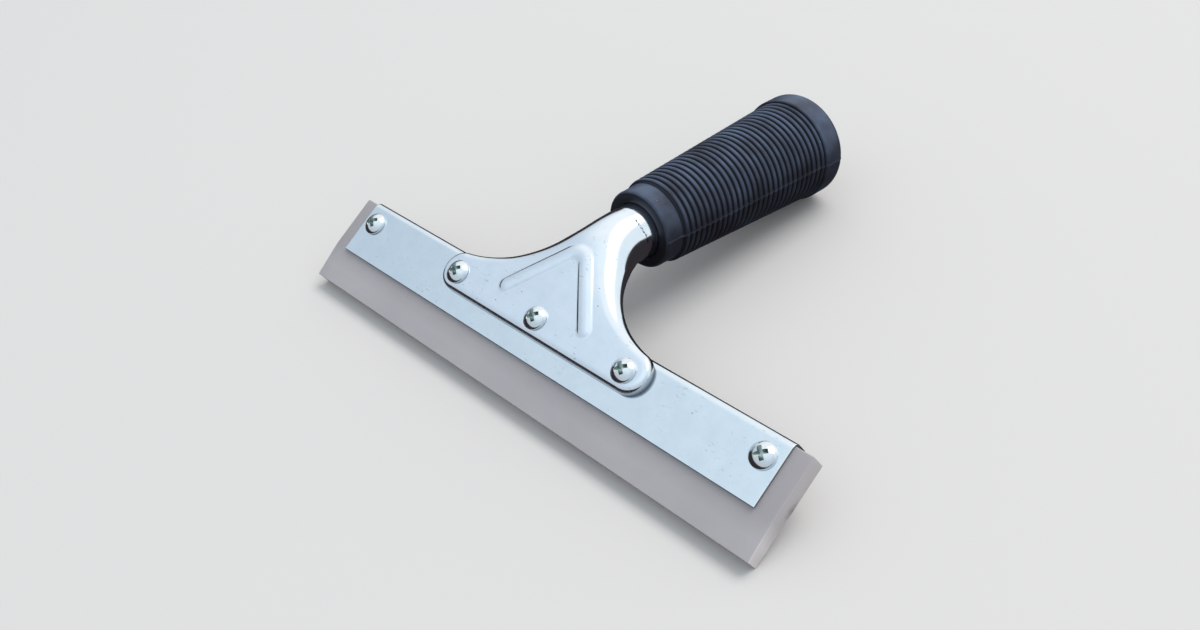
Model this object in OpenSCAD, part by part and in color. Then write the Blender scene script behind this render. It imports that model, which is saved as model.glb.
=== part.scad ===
// Hand squeegee: a rubber blade clamped in a folded steel channel, on a stamped handle bracket with a
// ribbed grip. Every piece is drawn in the blade frame: X along the blade, Y to the back, Z towards
// the grip, the screw line on X and the front face of the channel at Y = 0. place() lays the tool on
// its back, on the rear edge of the blade and the end of the grip.

/* [Blade] */
// Length of the blade along its wiping edge
blade_len = 204.6; // [160:0.2:300]
// Thickness of the blade inside the channel
blade_t = 7.2; // [6:0.1:9]
// Thickness of the blade at its wiping edge, its front face tapers to it
tip_t = 5.8; // [3:0.1:6]
// How far the blade stands out of the channel towards the glass
blade_reach = 12.8; // [8:0.1:25]
// How far the blade stands out past each end of the channel
blade_overhang = 6.3; // [0:0.1:12]

/* [Channel] */
// Thickness of the channel's sheet
channel_sheet = 1; // [0.6:0.1:1.6]
// Height of the channel from its mouth to its fold
channel_h = 21; // [19:0.1:30]
// Outer radius of the two folds along the back of the channel
fold_r = 2.4; // [1.7:0.1:3]
// From the closed edge of the channel down to the screw line
screw_drop = 7.8; // [7:0.1:9]
// From the end of the channel to its outer screws
screw_inset = 6; // [5:0.1:12]

/* [Bracket] */
// Thickness of the bracket's sheet
bracket_sheet = 1.2; // [0.8:0.1:1.6]
// How far the bracket's face stands out from the channel
face_h = 3.5; // [3:0.1:5]
// From the centre of the bracket to its outer screws
bracket_screw_x = 39; // [32:0.1:50]
// Radius of the bracket's two lower corners
corner_r = 7; // [6.5:0.1:9]
// How far the centres of those corners lie outside the outer screws
corner_out = 1; // [0:0.1:2]
// How far the centres of those corners lie above the screw line
corner_rise = 0.9; // [0:0.1:1.5]
// Radius of the hollow sweep from each corner up to the neck
sweep_r = 38; // [34:0.5:50]
// Outer radius of the neck tube
neck_r = 9.5; // [8.5:0.1:10.5]
// Height above the screw line where the line of the face meets the line of the neck
bend_z = 37; // [34:0.5:45]
// Angle that the neck bends back from the blade
bend_angle = 35.2; // [20:0.2:45]
// Radius of that bend along the face
bend_r = 28.5; // [25:0.5:36]
// From the bend's corner along the neck to the front of the grip
neck_len = 15.2; // [13:0.1:25]
// Height above the screw line where the edge of the neck is fully round
round_z = 38; // [36:0.5:44]
// Length of the neck tube inside the grip
tube_in = 70; // [40:1:74]

/* [Raised chevron] */
// Width of the raised chevron on the face
chevron_w = 4.8; // [3:0.1:6]
// Height of the raised chevron above the face
chevron_h = 0.9; // [0.4:0.1:1.1]
// Height of the middle of its bend above the screw line
chevron_top = 25; // [22:0.1:26]
// Radius of its bend
chevron_r = 4.1; // [3.2:0.1:6]
// Slope of its legs
chevron_slope = 52; // [45:0.5:60]
// Height of its two feet above the screw line
chevron_foot = 4.6; // [2:0.1:8]

/* [Grip] */
// Length of the grip
grip_len = 86.4; // [80:0.2:140]
// Radius of the plain band at the front of the grip
band_r = 13.5; // [12.5:0.1:14.5]
// Length of that band
band_len = 7.3; // [4:0.1:12]
// Radius over the ribs at the front
rib_front_r = 14.6; // [14:0.1:17]
// Radius over the ribs at the back
rib_back_r = 18.2; // [17:0.1:20]
// Number of grooves between the ribs
groove_count = 28; // [10:1:36]
// Width of each groove
groove_w = 0.9; // [0.4:0.1:1.3]
// Depth of each groove
groove_d = 0.9; // [0.3:0.1:1.5]
// Radius of the plain cap at the end of the grip
cap_r = 18.9; // [18.6:0.1:23]
// Length of that cap
cap_len = 10.6; // [8:0.1:15]
// Radius of the cap's rounded end
cap_edge_r = 4; // [2:0.1:6]
// Room between the neck tube and the bore of the grip
grip_fit = 0.1; // [0.05:0.01:0.2]

/* [Fasteners] */
// Outer diameter of the screw thread
screw_d = 4; // [3:0.1:4.4]
// Diameter of the screw head
head_d = 8.3; // [7.5:0.1:9]
// Height of the screw head
head_h = 2.7; // [2.3:0.1:3.2]
// Height of the straight rim of the screw head
head_rim = 0.8; // [0.4:0.1:1]
// Span of the cross recess
recess_w = 4.4; // [3.6:0.1:5]
// Width of each slot of the cross recess
recess_slot = 1; // [0.7:0.1:1.2]
// Depth of the cross recess
recess_d = 1.7; // [1:0.1:2]
// Length of thread that stands out past the nut
screw_tail = 1.4; // [0.6:0.1:3]
// Width of the nut across its flats
nut_af = 7; // [6.5:0.1:8]
// Height of the nut
nut_h = 3.2; // [2.4:0.1:4]
// Outer diameter of the spring washer
washer_d = 7; // [6.2:0.1:7.6]
// Thickness of the spring washer
washer_t = 0.9; // [0.6:0.1:1.2]
// Width of the slit in the spring washer
washer_slit = 0.8; // [0.4:0.1:1.2]
// Outer diameter of the spacers under the bracket's face
spacer_d = 5.1; // [4.8:0.1:5.2]
// Room around each screw in the holes that it passes
hole_fit = 0.08; // [0.02:0.01:0.1]
// Room around the screw in its nut, and under each head and nut
turn_fit = 0.04; // [0.02:0.01:0.08]

/* [Hidden] */
$fn = 64;

// Small overlap that keeps cuts clean
eps = 0.01;

// Channel and blade, as heights and depths in the blade frame
channel_t = blade_t + 2 * channel_sheet;
channel_len = blade_len - 2 * blade_overhang;
channel_top = screw_drop;
channel_mouth = channel_top - channel_h;
tip_z = channel_mouth - blade_reach;
tip_back = channel_sheet + blade_t;
tip_front = tip_back - tip_t;

// Screw line: places along X, and the depth that each screw's head seats on
end_x = channel_len / 2 - screw_inset;
screw_x = [-end_x, -bracket_screw_x, 0, bracket_screw_x, end_x];
seat_y = [0, -face_h, -face_h, -face_h, 0];
hole_r = screw_d / 2 + hole_fit;
bore_r = screw_d / 2 + turn_fit;
washer_y = channel_t;
nut_y = washer_y + washer_t + turn_fit;
tail_y = nut_y + nut_h + screw_tail;
nut_chamfer = 0.5;

// The face of the bracket follows a line that runs up the blade, bends back and ends in the grip.
// A place on the bracket is [x, s, d]: across, along that line, and behind it.
bend_start = bend_z - bend_r * tan(bend_angle / 2);
bend_run = bend_r * bend_angle * PI / 180;
collar_s = bend_start + bend_run + neck_len - bend_r * tan(bend_angle / 2);
tube_end_s = collar_s + tube_in;

// Half the angle of the facet along the front of the neck, and the depth of the neck's axis
facet_angle = 7.5;
axis_d = neck_r * cos(facet_angle);

// Outline of the bracket: lower corner, then the hollow sweep to the neck
corner_x = bracket_screw_x + corner_out;
sweep_x = neck_r + sweep_r;
sweep_z = corner_rise + sqrt(pow(corner_r + sweep_r, 2) - pow(sweep_x - corner_x, 2));
meet_angle = atan2(sweep_z - corner_rise, sweep_x - corner_x);
corner_steps = 14;
sweep_steps = 18;
neck_steps = 4;
edge_steps = 11;

// The flanges deepen from just above the channel until they meet just inside the grip, where the
// tube's seam lies behind. The edge starts to grow rounder a little lower.
roll_gap = 0.2;
round_lead = 2;
seam_in = 2;
roll_start = channel_top + roll_gap;
roll_end = collar_s + seam_in;
round_start = channel_top - round_lead;
max_wrap = 176;

// Raised chevron: its back is an arc whose centre lies below the face, and it is rooted halfway
// into the sheet
chevron_back_r = (pow(chevron_w / 2, 2) + pow(chevron_h, 2)) / (2 * chevron_h);
chevron_centre = chevron_back_r - chevron_h;
chevron_root = chevron_centre - bracket_sheet / 2;
chevron_mid = chevron_top - chevron_r;
foot_x = chevron_r * sin(chevron_slope)
    + (chevron_mid + chevron_r * cos(chevron_slope) - chevron_foot) / tan(chevron_slope);
foot_reach = sqrt(pow(chevron_back_r, 2) - pow(chevron_root, 2));
foot_angles = [75, 60, 40, 20, 0];
bend_steps = 8;
back_steps = 8;

// Lengths along the grip
cap_s = grip_len - cap_len;
band_bevel = 0.8;
bore_room = 0.5;
groove_pitch = (cap_s - band_len) / groove_count;

// Where the grip starts in the blade frame, and how the tool lies on a table
grip_yz = [bent_y(collar_s, axis_d), bent_z(collar_s, axis_d)];
edge_yz = grip_point(grip_len - cap_edge_r, cap_r - cap_edge_r);
edge_reach = [edge_yz.x - tip_back, edge_yz.y - tip_z];
rest_tilt = atan2(edge_reach.x, edge_reach.y) + asin(cap_edge_r / norm(edge_reach));
far_yz = grip_point(grip_len - cap_edge_r, cap_edge_r - cap_r);
lie_near = -sin(rest_tilt) * tip_t;
lie_far = lie_along(far_yz) + cap_edge_r;

function smooth(t) = let (u = min(max(t, 0), 1)) u * u * (3 - 2 * u);

// Depth Y and height Z of a place on the bracket
function bent_y(s, d) =
    let (a = min(max((s - bend_start) / bend_run, 0), 1) * bend_angle)
    let (past = max(s - bend_start - bend_run, 0))
    bend_r - face_h - (bend_r - d) * cos(a) + past * sin(a);
function bent_z(s, d) =
    let (a = min(max((s - bend_start) / bend_run, 0), 1) * bend_angle)
    let (past = max(s - bend_start - bend_run, 0))
    min(s, bend_start) + (bend_r - d) * sin(a) + past * cos(a);
function bent(x, s, d) = [x, bent_y(s, d), bent_z(s, d)];

// Point of the grip in the blade's Y and Z, at s along its axis and r towards the back
function grip_point(s, r) =
    grip_yz + s * [sin(bend_angle), cos(bend_angle)] + r * [cos(bend_angle), -sin(bend_angle)];
// Distance along the table from the blade's rear edge
function lie_along(p) = sin(rest_tilt) * (p.x - tip_back) + cos(rest_tilt) * (p.y - tip_z);

// Radius of the rounded edge, depth of the flange and angle that its section wraps, at height s
function edge_r(s) = face_h + (neck_r - face_h) * smooth((s - round_start) / (round_z - round_start));
function flange_d(s) = face_h + (2 * axis_d - face_h) * smooth((s - roll_start) / (roll_end - roll_start));
function front_angle(s) = facet_angle * (edge_r(s) - face_h) / (neck_r - face_h);
function wrap_angle(s) = min(max_wrap, acos(max(-1, cos(front_angle(s)) - flange_d(s) / edge_r(s))));

// Outline rows of the right half, from the lower corner to the tube's end: [x, s, inward x, inward s]
corner_rows = [
    for (i = [0 : corner_steps])
        let (a = -90 + (90 + meet_angle) * i / corner_steps)
        [corner_x + corner_r * cos(a), corner_rise + corner_r * sin(a), -cos(a), -sin(a)]
];
sweep_rows = [
    for (i = [1 : sweep_steps])
        let (a = 180 + meet_angle * (1 - i / sweep_steps))
        [sweep_x + sweep_r * cos(a), sweep_z + sweep_r * sin(a), cos(a), sin(a)]
];
neck_rows = [
    for (i = [1 : neck_steps])
        [neck_r, sweep_z + (roll_end - sweep_z) * i / neck_steps, -1, 0]
];
half_rows = concat(corner_rows, sweep_rows, neck_rows, [[neck_r, tube_end_s, -1, 0]]);
half_count = len(half_rows);
rows = concat(
    [for (i = [half_count - 1 : -1 : 0]) mirror_row(half_rows[i])],
    half_rows
);
function mirror_row(q) = [-q[0], q[1], -q[2], q[3]];

// Point j of a row on the sheet's outer (skin = 0) or inner (skin = 1) surface. j = 0 lies on the
// flange's edge and j = edge_steps where the flat face starts.
function sheet_point(q, j, skin) =
    let (r = edge_r(q[1]), a0 = front_angle(q[1]), inset = skin * bracket_sheet)
    let (a = a0 + (wrap_angle(q[1]) - a0) * (1 - j / edge_steps))
    let (across = inset + (r - inset) * (1 - sin(a)))
    let (depth = inset + (r - inset) * (cos(a0) - cos(a)))
    bent(q[0] + q[2] * across, q[1] + q[3] * across, depth);

row_len = edge_steps + 1;
row_count = len(rows);
skin_len = row_count * row_len;
function at(i, j, skin) = skin * skin_len + i * row_len + j;

sheet_points = [
    for (skin = [0, 1], q = rows, j = [0 : edge_steps]) sheet_point(q, j, skin)
];

// Two triangles for each patch, turned inside out for the inner surface
function patch(a, b, c, d, skin = 0) = skin == 0 ? [[a, c, b], [a, d, c]] : [[a, b, c], [a, c, d]];
edge_faces = [
    for (skin = [0, 1], i = [0 : row_count - 2], j = [0 : edge_steps - 1])
        each patch(at(i, j, skin), at(i + 1, j, skin), at(i + 1, j + 1, skin), at(i, j + 1, skin), skin)
];
// Across the face, between the rounded edges
face_strips = [
    for (skin = [0, 1], k = [1 : half_count - 1])
        let (l = half_count - 1 - k, r = half_count + k)
        each patch(at(l, edge_steps, skin), at(l + 1, edge_steps, skin),
            at(r - 1, edge_steps, skin), at(r, edge_steps, skin), skin)
];
rim_faces = [
    for (i = [0 : row_count - 2])
        each patch(at(i, 0, 0), at(i, 0, 1), at(i + 1, 0, 1), at(i + 1, 0, 0))
];
last_row = row_count - 1;
end_faces = [
    for (j = [0 : edge_steps - 1])
        each concat(
            patch(at(last_row, j, 0), at(last_row, j, 1), at(last_row, j + 1, 1), at(last_row, j + 1, 0)),
            patch(at(0, j, 0), at(0, j + 1, 0), at(0, j + 1, 1), at(0, j, 1))
        )
];
end_strip = patch(at(0, edge_steps, 0), at(last_row, edge_steps, 0),
    at(last_row, edge_steps, 1), at(0, edge_steps, 1));

// Rows along the chevron from its left foot over its bend to its right foot, as
// [x, z, direction x, direction z, radius of its back]
right_foot = [
    for (a = foot_angles)
        let (d = foot_reach * sin(a))
        [foot_x + d * cos(chevron_slope), chevron_foot - d * sin(chevron_slope),
            cos(chevron_slope), -sin(chevron_slope), sqrt(pow(chevron_back_r, 2) - pow(d, 2))]
];
left_foot = [for (q = right_foot) [-q[0], q[1], q[2], -q[3], q[4]]];
chevron_bend = [
    for (i = [0 : bend_steps])
        let (a = chevron_slope * (2 * i / bend_steps - 1))
        [chevron_r * sin(a), chevron_mid + chevron_r * cos(a), cos(a), -sin(a), chevron_back_r]
];
chevron_rows = concat(left_foot, chevron_bend, [for (i = [len(right_foot) - 1 : -1 : 0]) right_foot[i]]);
last_station = len(chevron_rows) - 1;
function chevron_point(q, j) =
    let (a = acos(chevron_root / q[4]) * (1 - 2 * j / back_steps))
    let (across = q[4] * sin(a), up = q[4] * cos(a) - chevron_centre)
    [q[0] - across * q[3], -face_h - up, q[1] + across * q[2]];
function back_at(i, j) = i * (back_steps + 1) + j % (back_steps + 1);
chevron_sides = [
    for (i = [0 : last_station - 1], j = [0 : back_steps])
        each patch(back_at(i, j), back_at(i, j + 1), back_at(i + 1, j + 1), back_at(i + 1, j))
];
chevron_ends = [
    [for (j = [back_steps : -1 : 0]) back_at(0, j)],
    [for (j = [0 : back_steps]) back_at(last_station, j)]
];

// Lays the tool on its back, with the origin under the middle of it
module place() {
    translate([0, -(lie_near + lie_far) / 2, 0])
        rotate([rest_tilt - 90, 0, 0])
            translate([0, -tip_back, -tip_z])
                children();
}

// Stands something drawn along Z on the line of screw i, pointing to the back, at depth y
module on_screw(i, y) {
    place()
        translate([screw_x[i], y, 0])
            rotate([-90, 0, 0])
                children();
}

// Extrudes a drawing in the blade's Y and Z along X
module along_blade(length) {
    rotate([90, 0, 90])
        linear_extrude(length, center = true)
            children();
}

// Cuts the holes for the screws from first to last
module screw_holes(first, last, depth) {
    for (i = [first : last])
        translate([screw_x[i], depth[0], 0])
            rotate([-90, 0, 0])
                cylinder(r = hole_r, h = depth[1] - depth[0]);
}

module blade() {
    color("#a5a1a7")
        place()
            difference() {
                along_blade(blade_len)
                    polygon([
                        [channel_sheet, channel_top - channel_sheet],
                        [channel_sheet, channel_mouth],
                        [tip_front, tip_z],
                        [tip_back, tip_z],
                        [tip_back, channel_top - channel_sheet]
                    ]);
                screw_holes(0, 4, [0, channel_t]);
            }
}

// Rectangle with its two top corners rounded
module folded_outline(y0, y1, top, r) {
    translate([y0, channel_mouth])
        square([y1 - y0, top - r - channel_mouth]);
    translate([y0 + r, top - r - eps])
        square([y1 - y0 - 2 * r, r + eps]);
    for (y = [y0 + r, y1 - r])
        translate([y, top - r])
            circle(r);
}

module blade_channel() {
    color("#cfdbe6")
        place()
            difference() {
                along_blade(channel_len)
                    difference() {
                        folded_outline(0, channel_t, channel_top, fold_r);
                        translate([channel_sheet, channel_mouth - eps])
                            square([blade_t, channel_h - channel_sheet + eps]);
                    }
                screw_holes(0, 4, [-eps, channel_t + eps]);
            }
}

module handle_bracket() {
    color("#dfe9f2")
        place()
            difference() {
                union() {
                    polyhedron(
                        points = sheet_points,
                        faces = concat(edge_faces, face_strips, rim_faces, end_faces, end_strip)
                    );
                    polyhedron(
                        points = [for (q = chevron_rows, j = [0 : back_steps]) chevron_point(q, j)],
                        faces = concat(chevron_sides, chevron_ends)
                    );
                }
                screw_holes(1, 3, [-face_h - eps, bracket_sheet - face_h + eps]);
            }
}

// Radius over the ribs at s along the grip
function rib_r(s) = rib_front_r + (rib_back_r - rib_front_r) * (s - band_len) / (cap_s - band_len);

module grip() {
    color("#26272c")
        place()
            translate([0, grip_yz.x, grip_yz.y])
                rotate([-bend_angle, 0, 0])
                    difference() {
                        rotate_extrude() {
                            polygon(concat(
                                [[0, 0], [band_r - band_bevel, 0], [band_r, band_bevel], [rib_r(band_len) - groove_d, band_len]],
                                [for (i = [0 : groove_count - 1]) each groove_points(band_len + i * groove_pitch)],
                                [[cap_r, cap_s], [cap_r, grip_len - cap_edge_r],
                                    [0, grip_len - cap_edge_r]]
                            ));
                            translate([0, grip_len - cap_edge_r - eps])
                                square([cap_r - cap_edge_r, cap_edge_r + eps]);
                            translate([cap_r - cap_edge_r, grip_len - cap_edge_r])
                                circle(cap_edge_r);
                        }
                        translate([0, 0, -eps])
                            cylinder(r = neck_r + grip_fit, h = tube_in + bore_room);
                    }
}

// One groove at the front of each rib, then the rib's crest
function groove_points(s) = [
    [rib_r(s) - groove_d, s],
    [rib_r(s) - groove_d, s + groove_w],
    [rib_r(s + groove_w), s + groove_w],
    [rib_r(s + groove_pitch), s + groove_pitch]
];

module screw(i) {
    dome_r = (pow(head_d / 2, 2) + pow(head_h - head_rim, 2)) / (2 * (head_h - head_rim));
    color("#e8eef2")
        on_screw(i, seat_y[i] - turn_fit)
            difference() {
                union() {
                    cylinder(r = screw_d / 2, h = tail_y - seat_y[i]);
                    rotate_extrude()
                        intersection() {
                            translate([0, -head_h])
                                square([head_d / 2, head_h]);
                            translate([0, dome_r - head_h])
                                circle(dome_r);
                        }
                }
                for (a = [45, 135])
                    rotate([90, 0, a])
                        linear_extrude(recess_slot, center = true)
                            polygon([
                                [-recess_w / 2, -head_h - eps],
                                [recess_w / 2, -head_h - eps],
                                [recess_slot / 2, recess_d - head_h],
                                [-recess_slot / 2, recess_d - head_h]
                            ]);
            }
}

module nut(i) {
    corner = nut_af / 2 / cos(30);
    color("#cdd3d8")
        on_screw(i, nut_y)
            difference() {
                intersection() {
                    cylinder(r = corner, h = nut_h, $fn = 6);
                    rotate_extrude()
                        polygon([
                            [0, 0],
                            [corner - nut_chamfer, 0],
                            [corner, nut_chamfer],
                            [corner, nut_h - nut_chamfer],
                            [corner - nut_chamfer, nut_h],
                            [0, nut_h]
                        ]);
                }
                translate([0, 0, -eps])
                    cylinder(r = bore_r, h = nut_h + 2 * eps);
            }
}

module washer(i) {
    color("#9aa0a6")
        on_screw(i, washer_y)
            difference() {
                cylinder(d = washer_d, h = washer_t);
                translate([0, 0, -eps])
                    cylinder(r = hole_r, h = washer_t + 2 * eps);
                translate([0, -washer_slit / 2, -eps])
                    cube([washer_d, washer_slit, washer_t + 2 * eps]);
            }
}

module spacer(i) {
    color("#b9bfc4")
        on_screw(i, bracket_sheet - face_h)
            difference() {
                cylinder(d = spacer_d, h = face_h - bracket_sheet);
                translate([0, 0, -eps])
                    cylinder(r = hole_r, h = face_h - bracket_sheet + 2 * eps);
            }
}

blade();
blade_channel();
handle_bracket();
grip();
screw(0);  // screw_left_end
screw(1);  // screw_left
screw(2);  // screw_centre
screw(3);  // screw_right
screw(4);  // screw_right_end
nut(0);  // nut_left_end
nut(1);  // nut_left
nut(2);  // nut_centre
nut(3);  // nut_right
nut(4);  // nut_right_end
washer(0);  // washer_left_end
washer(1);  // washer_left
washer(2);  // washer_centre
washer(3);  // washer_right
washer(4);  // washer_right_end
spacer(1);  // spacer_left
spacer(2);  // spacer_centre
spacer(3);  // spacer_right
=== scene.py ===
"""Looks of the hand squeegee.

Each CAD node is replaced by a finer piece of the same size in the same place: folded and pressed sheet with
its edges broken, a raised chevron that is hollow behind, a moulded grip with round ribs and its parting line,
pan-head screws with their recess and thread, and the nuts, washers and sleeves that hold them.
"""

import logging
import math
from dataclasses import dataclass, field
from enum import Enum
from typing import Any, ClassVar

import bmesh
import bpy
import numpy as np
from mathutils import Matrix, Vector

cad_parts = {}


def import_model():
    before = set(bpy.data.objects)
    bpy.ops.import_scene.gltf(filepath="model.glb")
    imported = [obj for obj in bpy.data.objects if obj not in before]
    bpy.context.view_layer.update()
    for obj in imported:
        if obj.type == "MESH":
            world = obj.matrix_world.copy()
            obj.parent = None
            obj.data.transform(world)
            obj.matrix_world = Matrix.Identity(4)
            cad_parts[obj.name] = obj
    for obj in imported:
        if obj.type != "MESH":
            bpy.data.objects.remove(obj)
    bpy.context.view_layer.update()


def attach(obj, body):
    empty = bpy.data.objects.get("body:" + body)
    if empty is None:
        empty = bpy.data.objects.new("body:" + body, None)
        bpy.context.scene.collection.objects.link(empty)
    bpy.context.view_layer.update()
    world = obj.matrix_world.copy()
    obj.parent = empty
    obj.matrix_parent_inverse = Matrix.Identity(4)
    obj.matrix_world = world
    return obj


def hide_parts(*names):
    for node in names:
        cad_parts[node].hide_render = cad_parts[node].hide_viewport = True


LOG = logging.getLogger("squeegee")

# Metres in one millimetre.
METRES = 0.001
# Attribute of the grip that is 1 on the outside of its ribs and 0 in the grooves.
CREST = "crest"

Point2 = tuple[float, float]
Point3 = tuple[float, float, float]
Colour = tuple[float, float, float, float]
Numbers = np.ndarray | float
Face = tuple[int, ...]


# ---------------------------------------------------------------------------------------------------
# Sizes that the pieces share
# ---------------------------------------------------------------------------------------------------


def in_rows(x: Numbers, y: Numbers, z: Numbers) -> np.ndarray:
    """Puts coordinates together into points, along a new last axis."""
    return np.stack(np.broadcast_arrays(x, y, z), axis=-1)


@dataclass(frozen=True)
class Layout:
    """Sizes that several pieces share, in millimetres and degrees, and the way the tool lies.

    Places are given in the blade's frame: X along the blade, Y to the back, Z towards the grip, with
    the screw line on X and the front face of the channel at Y = 0.
    """

    # Blade and channel.
    blade_len: float = 204.6
    blade_t: float = 7.2
    tip_t: float = 5.8
    blade_reach: float = 12.8
    blade_overhang: float = 6.3
    channel_sheet: float = 1.0
    channel_h: float = 21.0
    screw_drop: float = 7.8
    screw_inset: float = 6.0
    # Bracket and neck.
    bracket_sheet: float = 1.2
    bracket_screw_x: float = 39.0
    face_h: float = 3.5
    neck_r: float = 9.5
    facet_angle: float = 7.5
    bend_z: float = 37.0
    bend_angle: float = 35.2
    bend_r: float = 28.5
    neck_len: float = 15.2
    tube_in: float = 70.0
    # Grip.
    grip_len: float = 86.4
    cap_r: float = 18.9
    cap_edge_r: float = 4.0
    # Fasteners.
    screw_d: float = 4.0
    hole_fit: float = 0.08
    turn_fit: float = 0.04
    washer_t: float = 0.9
    nut_h: float = 3.2

    @property
    def channel_t(self) -> float:
        """Outer thickness of the channel."""
        return self.blade_t + 2 * self.channel_sheet

    @property
    def channel_len(self) -> float:
        """Length of the channel."""
        return self.blade_len - 2 * self.blade_overhang

    @property
    def channel_mouth(self) -> float:
        """Height of the channel's open edges."""
        return self.screw_drop - self.channel_h

    @property
    def tip_z(self) -> float:
        """Height of the wiping edge."""
        return self.channel_mouth - self.blade_reach

    @property
    def tip_back(self) -> float:
        """Depth of the blade's rear face."""
        return self.channel_sheet + self.blade_t

    @property
    def hole_r(self) -> float:
        """Radius of the holes that the screws pass."""
        return self.screw_d / 2 + self.hole_fit

    @property
    def screw_x(self) -> tuple[float, ...]:
        """Places of the five screws along the blade."""
        end = self.channel_len / 2 - self.screw_inset
        return (-end, -self.bracket_screw_x, 0.0, self.bracket_screw_x, end)

    @property
    def every_screw(self) -> range:
        """Numbers of the screws, from left to right."""
        return range(len(self.screw_x))

    @property
    def bracket_screws(self) -> range:
        """Numbers of the screws that hold the bracket, which are all but the outer two."""
        return self.every_screw[1:-1]

    @property
    def seat_y(self) -> tuple[float, ...]:
        """Depth that each screw's head seats on."""
        return (0.0, -self.face_h, -self.face_h, -self.face_h, 0.0)

    @property
    def nut_y(self) -> float:
        """Depth of the near face of the nuts."""
        return self.channel_t + self.washer_t + self.turn_fit

    @property
    def bend_back(self) -> float:
        """Length from the start of the bend to where its two straight lines would meet."""
        return self.bend_r * math.tan(math.radians(self.bend_angle) / 2)

    @property
    def bend_start(self) -> float:
        """Length along the face where the neck starts to bend back."""
        return self.bend_z - self.bend_back

    @property
    def bend_run(self) -> float:
        """Length of the bend along the face."""
        return self.bend_r * math.radians(self.bend_angle)

    @property
    def collar_s(self) -> float:
        """Length along the face where the grip starts."""
        return self.bend_start + self.bend_run + self.neck_len - self.bend_back

    @property
    def axis_d(self) -> float:
        """Depth of the neck's axis behind the line of the face."""
        return self.neck_r * math.cos(math.radians(self.facet_angle))

    def bent(self, x: Numbers, s: Numbers, d: Numbers) -> np.ndarray:
        """Lays places on the bracket into the blade's frame.

        Args:
            x: Distance across the bracket.
            s: Distance along the line that runs up the face, round the bend and along the neck.
            d: Depth behind that line.

        Returns:
            The points, with their coordinates along the last axis.
        """
        turn = np.clip((s - self.bend_start) / self.bend_run, 0, 1) * math.radians(self.bend_angle)
        past = np.maximum(s - self.bend_start - self.bend_run, 0)
        y = self.bend_r - self.face_h - (self.bend_r - d) * np.cos(turn) + past * np.sin(turn)
        z = np.minimum(s, self.bend_start) + (self.bend_r - d) * np.sin(turn) + past * np.cos(turn)
        return in_rows(x, y, z)

    def on_grip(self, x: Numbers, s: Numbers, back: Numbers) -> np.ndarray:
        """Lays places on the grip into the blade's frame.

        Args:
            x: Distance across the grip.
            s: Distance along its axis from its front face.
            back: Distance from its axis towards the back.

        Returns:
            The points, with their coordinates along the last axis.
        """
        tilt = math.radians(self.bend_angle)
        start = self.bent(0.0, self.collar_s, self.axis_d)
        y = start[1] + s * math.sin(tilt) + back * math.cos(tilt)
        z = start[2] + s * math.cos(tilt) - back * math.sin(tilt)
        return in_rows(x, y, z)

    def to_world(self, points: np.ndarray) -> np.ndarray:
        """Lays the tool on its back, on the blade's rear edge and the rim of the grip's cap.

        Args:
            points: Points in the blade's frame, in millimetres.

        Returns:
            The same points on the table, in metres, with the origin under the middle of the tool.
        """
        rim = self.cap_r - self.cap_edge_r
        near, far = (self.on_grip(0.0, self.grip_len - self.cap_edge_r, side) for side in (rim, -rim))
        reach = near[1:] - np.array([self.tip_back, self.tip_z])
        tilt = math.atan2(reach[0], reach[1]) + math.asin(self.cap_edge_r / float(np.hypot(*reach)))
        sine, cosine = math.sin(tilt), math.cos(tilt)
        low = -sine * self.tip_t
        high = sine * (far[1] - self.tip_back) + cosine * (far[2] - self.tip_z) + self.cap_edge_r
        y, z = points[..., 1] - self.tip_back, points[..., 2] - self.tip_z
        along, up = sine * y + cosine * z - (low + high) / 2, sine * z - cosine * y
        return np.stack([points[..., 0], along, up], axis=-1) * METRES

    def spot(self, x: float, y: float, z: float) -> Vector:
        """One place in the blade's frame, as it lies on the table."""
        return Vector(self.to_world(np.array([x, y, z])))

    def way(self, x: float, y: float, z: float) -> Vector:
        """A direction in the blade's frame, as it points when the tool lies on the table."""
        return (self.spot(x, y, z) - self.spot(0.0, 0.0, 0.0)).normalized()


# ---------------------------------------------------------------------------------------------------
# Mesh work
# ---------------------------------------------------------------------------------------------------


@dataclass
class Skin:
    """Patches of one closed surface, which are welded where their edges meet."""

    points: list[np.ndarray] = field(default_factory=list)
    faces: list[Face] = field(default_factory=list)
    count: int = 0

    def grid(self, patch: np.ndarray, closed: bool = False, ring: bool = False) -> None:
        """Adds a patch of four-sided faces.

        Args:
            patch: Points in rows and columns.
            closed: Whether the last column joins the first.
            ring: Whether the last row joins the first.
        """
        rows, cols = patch.shape[:2]
        for i in range(rows if ring else rows - 1):
            for j in range(cols if closed else cols - 1):
                below, beside = (i + 1) % rows, (j + 1) % cols
                corners = (i * cols + j, below * cols + j, below * cols + beside, i * cols + beside)
                self.faces.append(tuple(self.count + c for c in corners))
        self._keep(patch.reshape(-1, 3))

    def lid(self, outline: np.ndarray) -> None:
        """Closes a flat outline with one face."""
        self.faces.append(tuple(range(self.count, self.count + len(outline))))
        self._keep(outline)

    def bar(self, rings: np.ndarray) -> None:
        """Joins rings of points, each to the next, and closes the first and the last.

        Args:
            rings: The rings, in rows.
        """
        self.grid(rings, closed=True)
        self.lid(rings[0])
        self.lid(rings[-1])

    def _keep(self, points: np.ndarray) -> None:
        """Keeps the points of a patch."""
        self.points.append(points)
        self.count += len(points)


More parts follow.
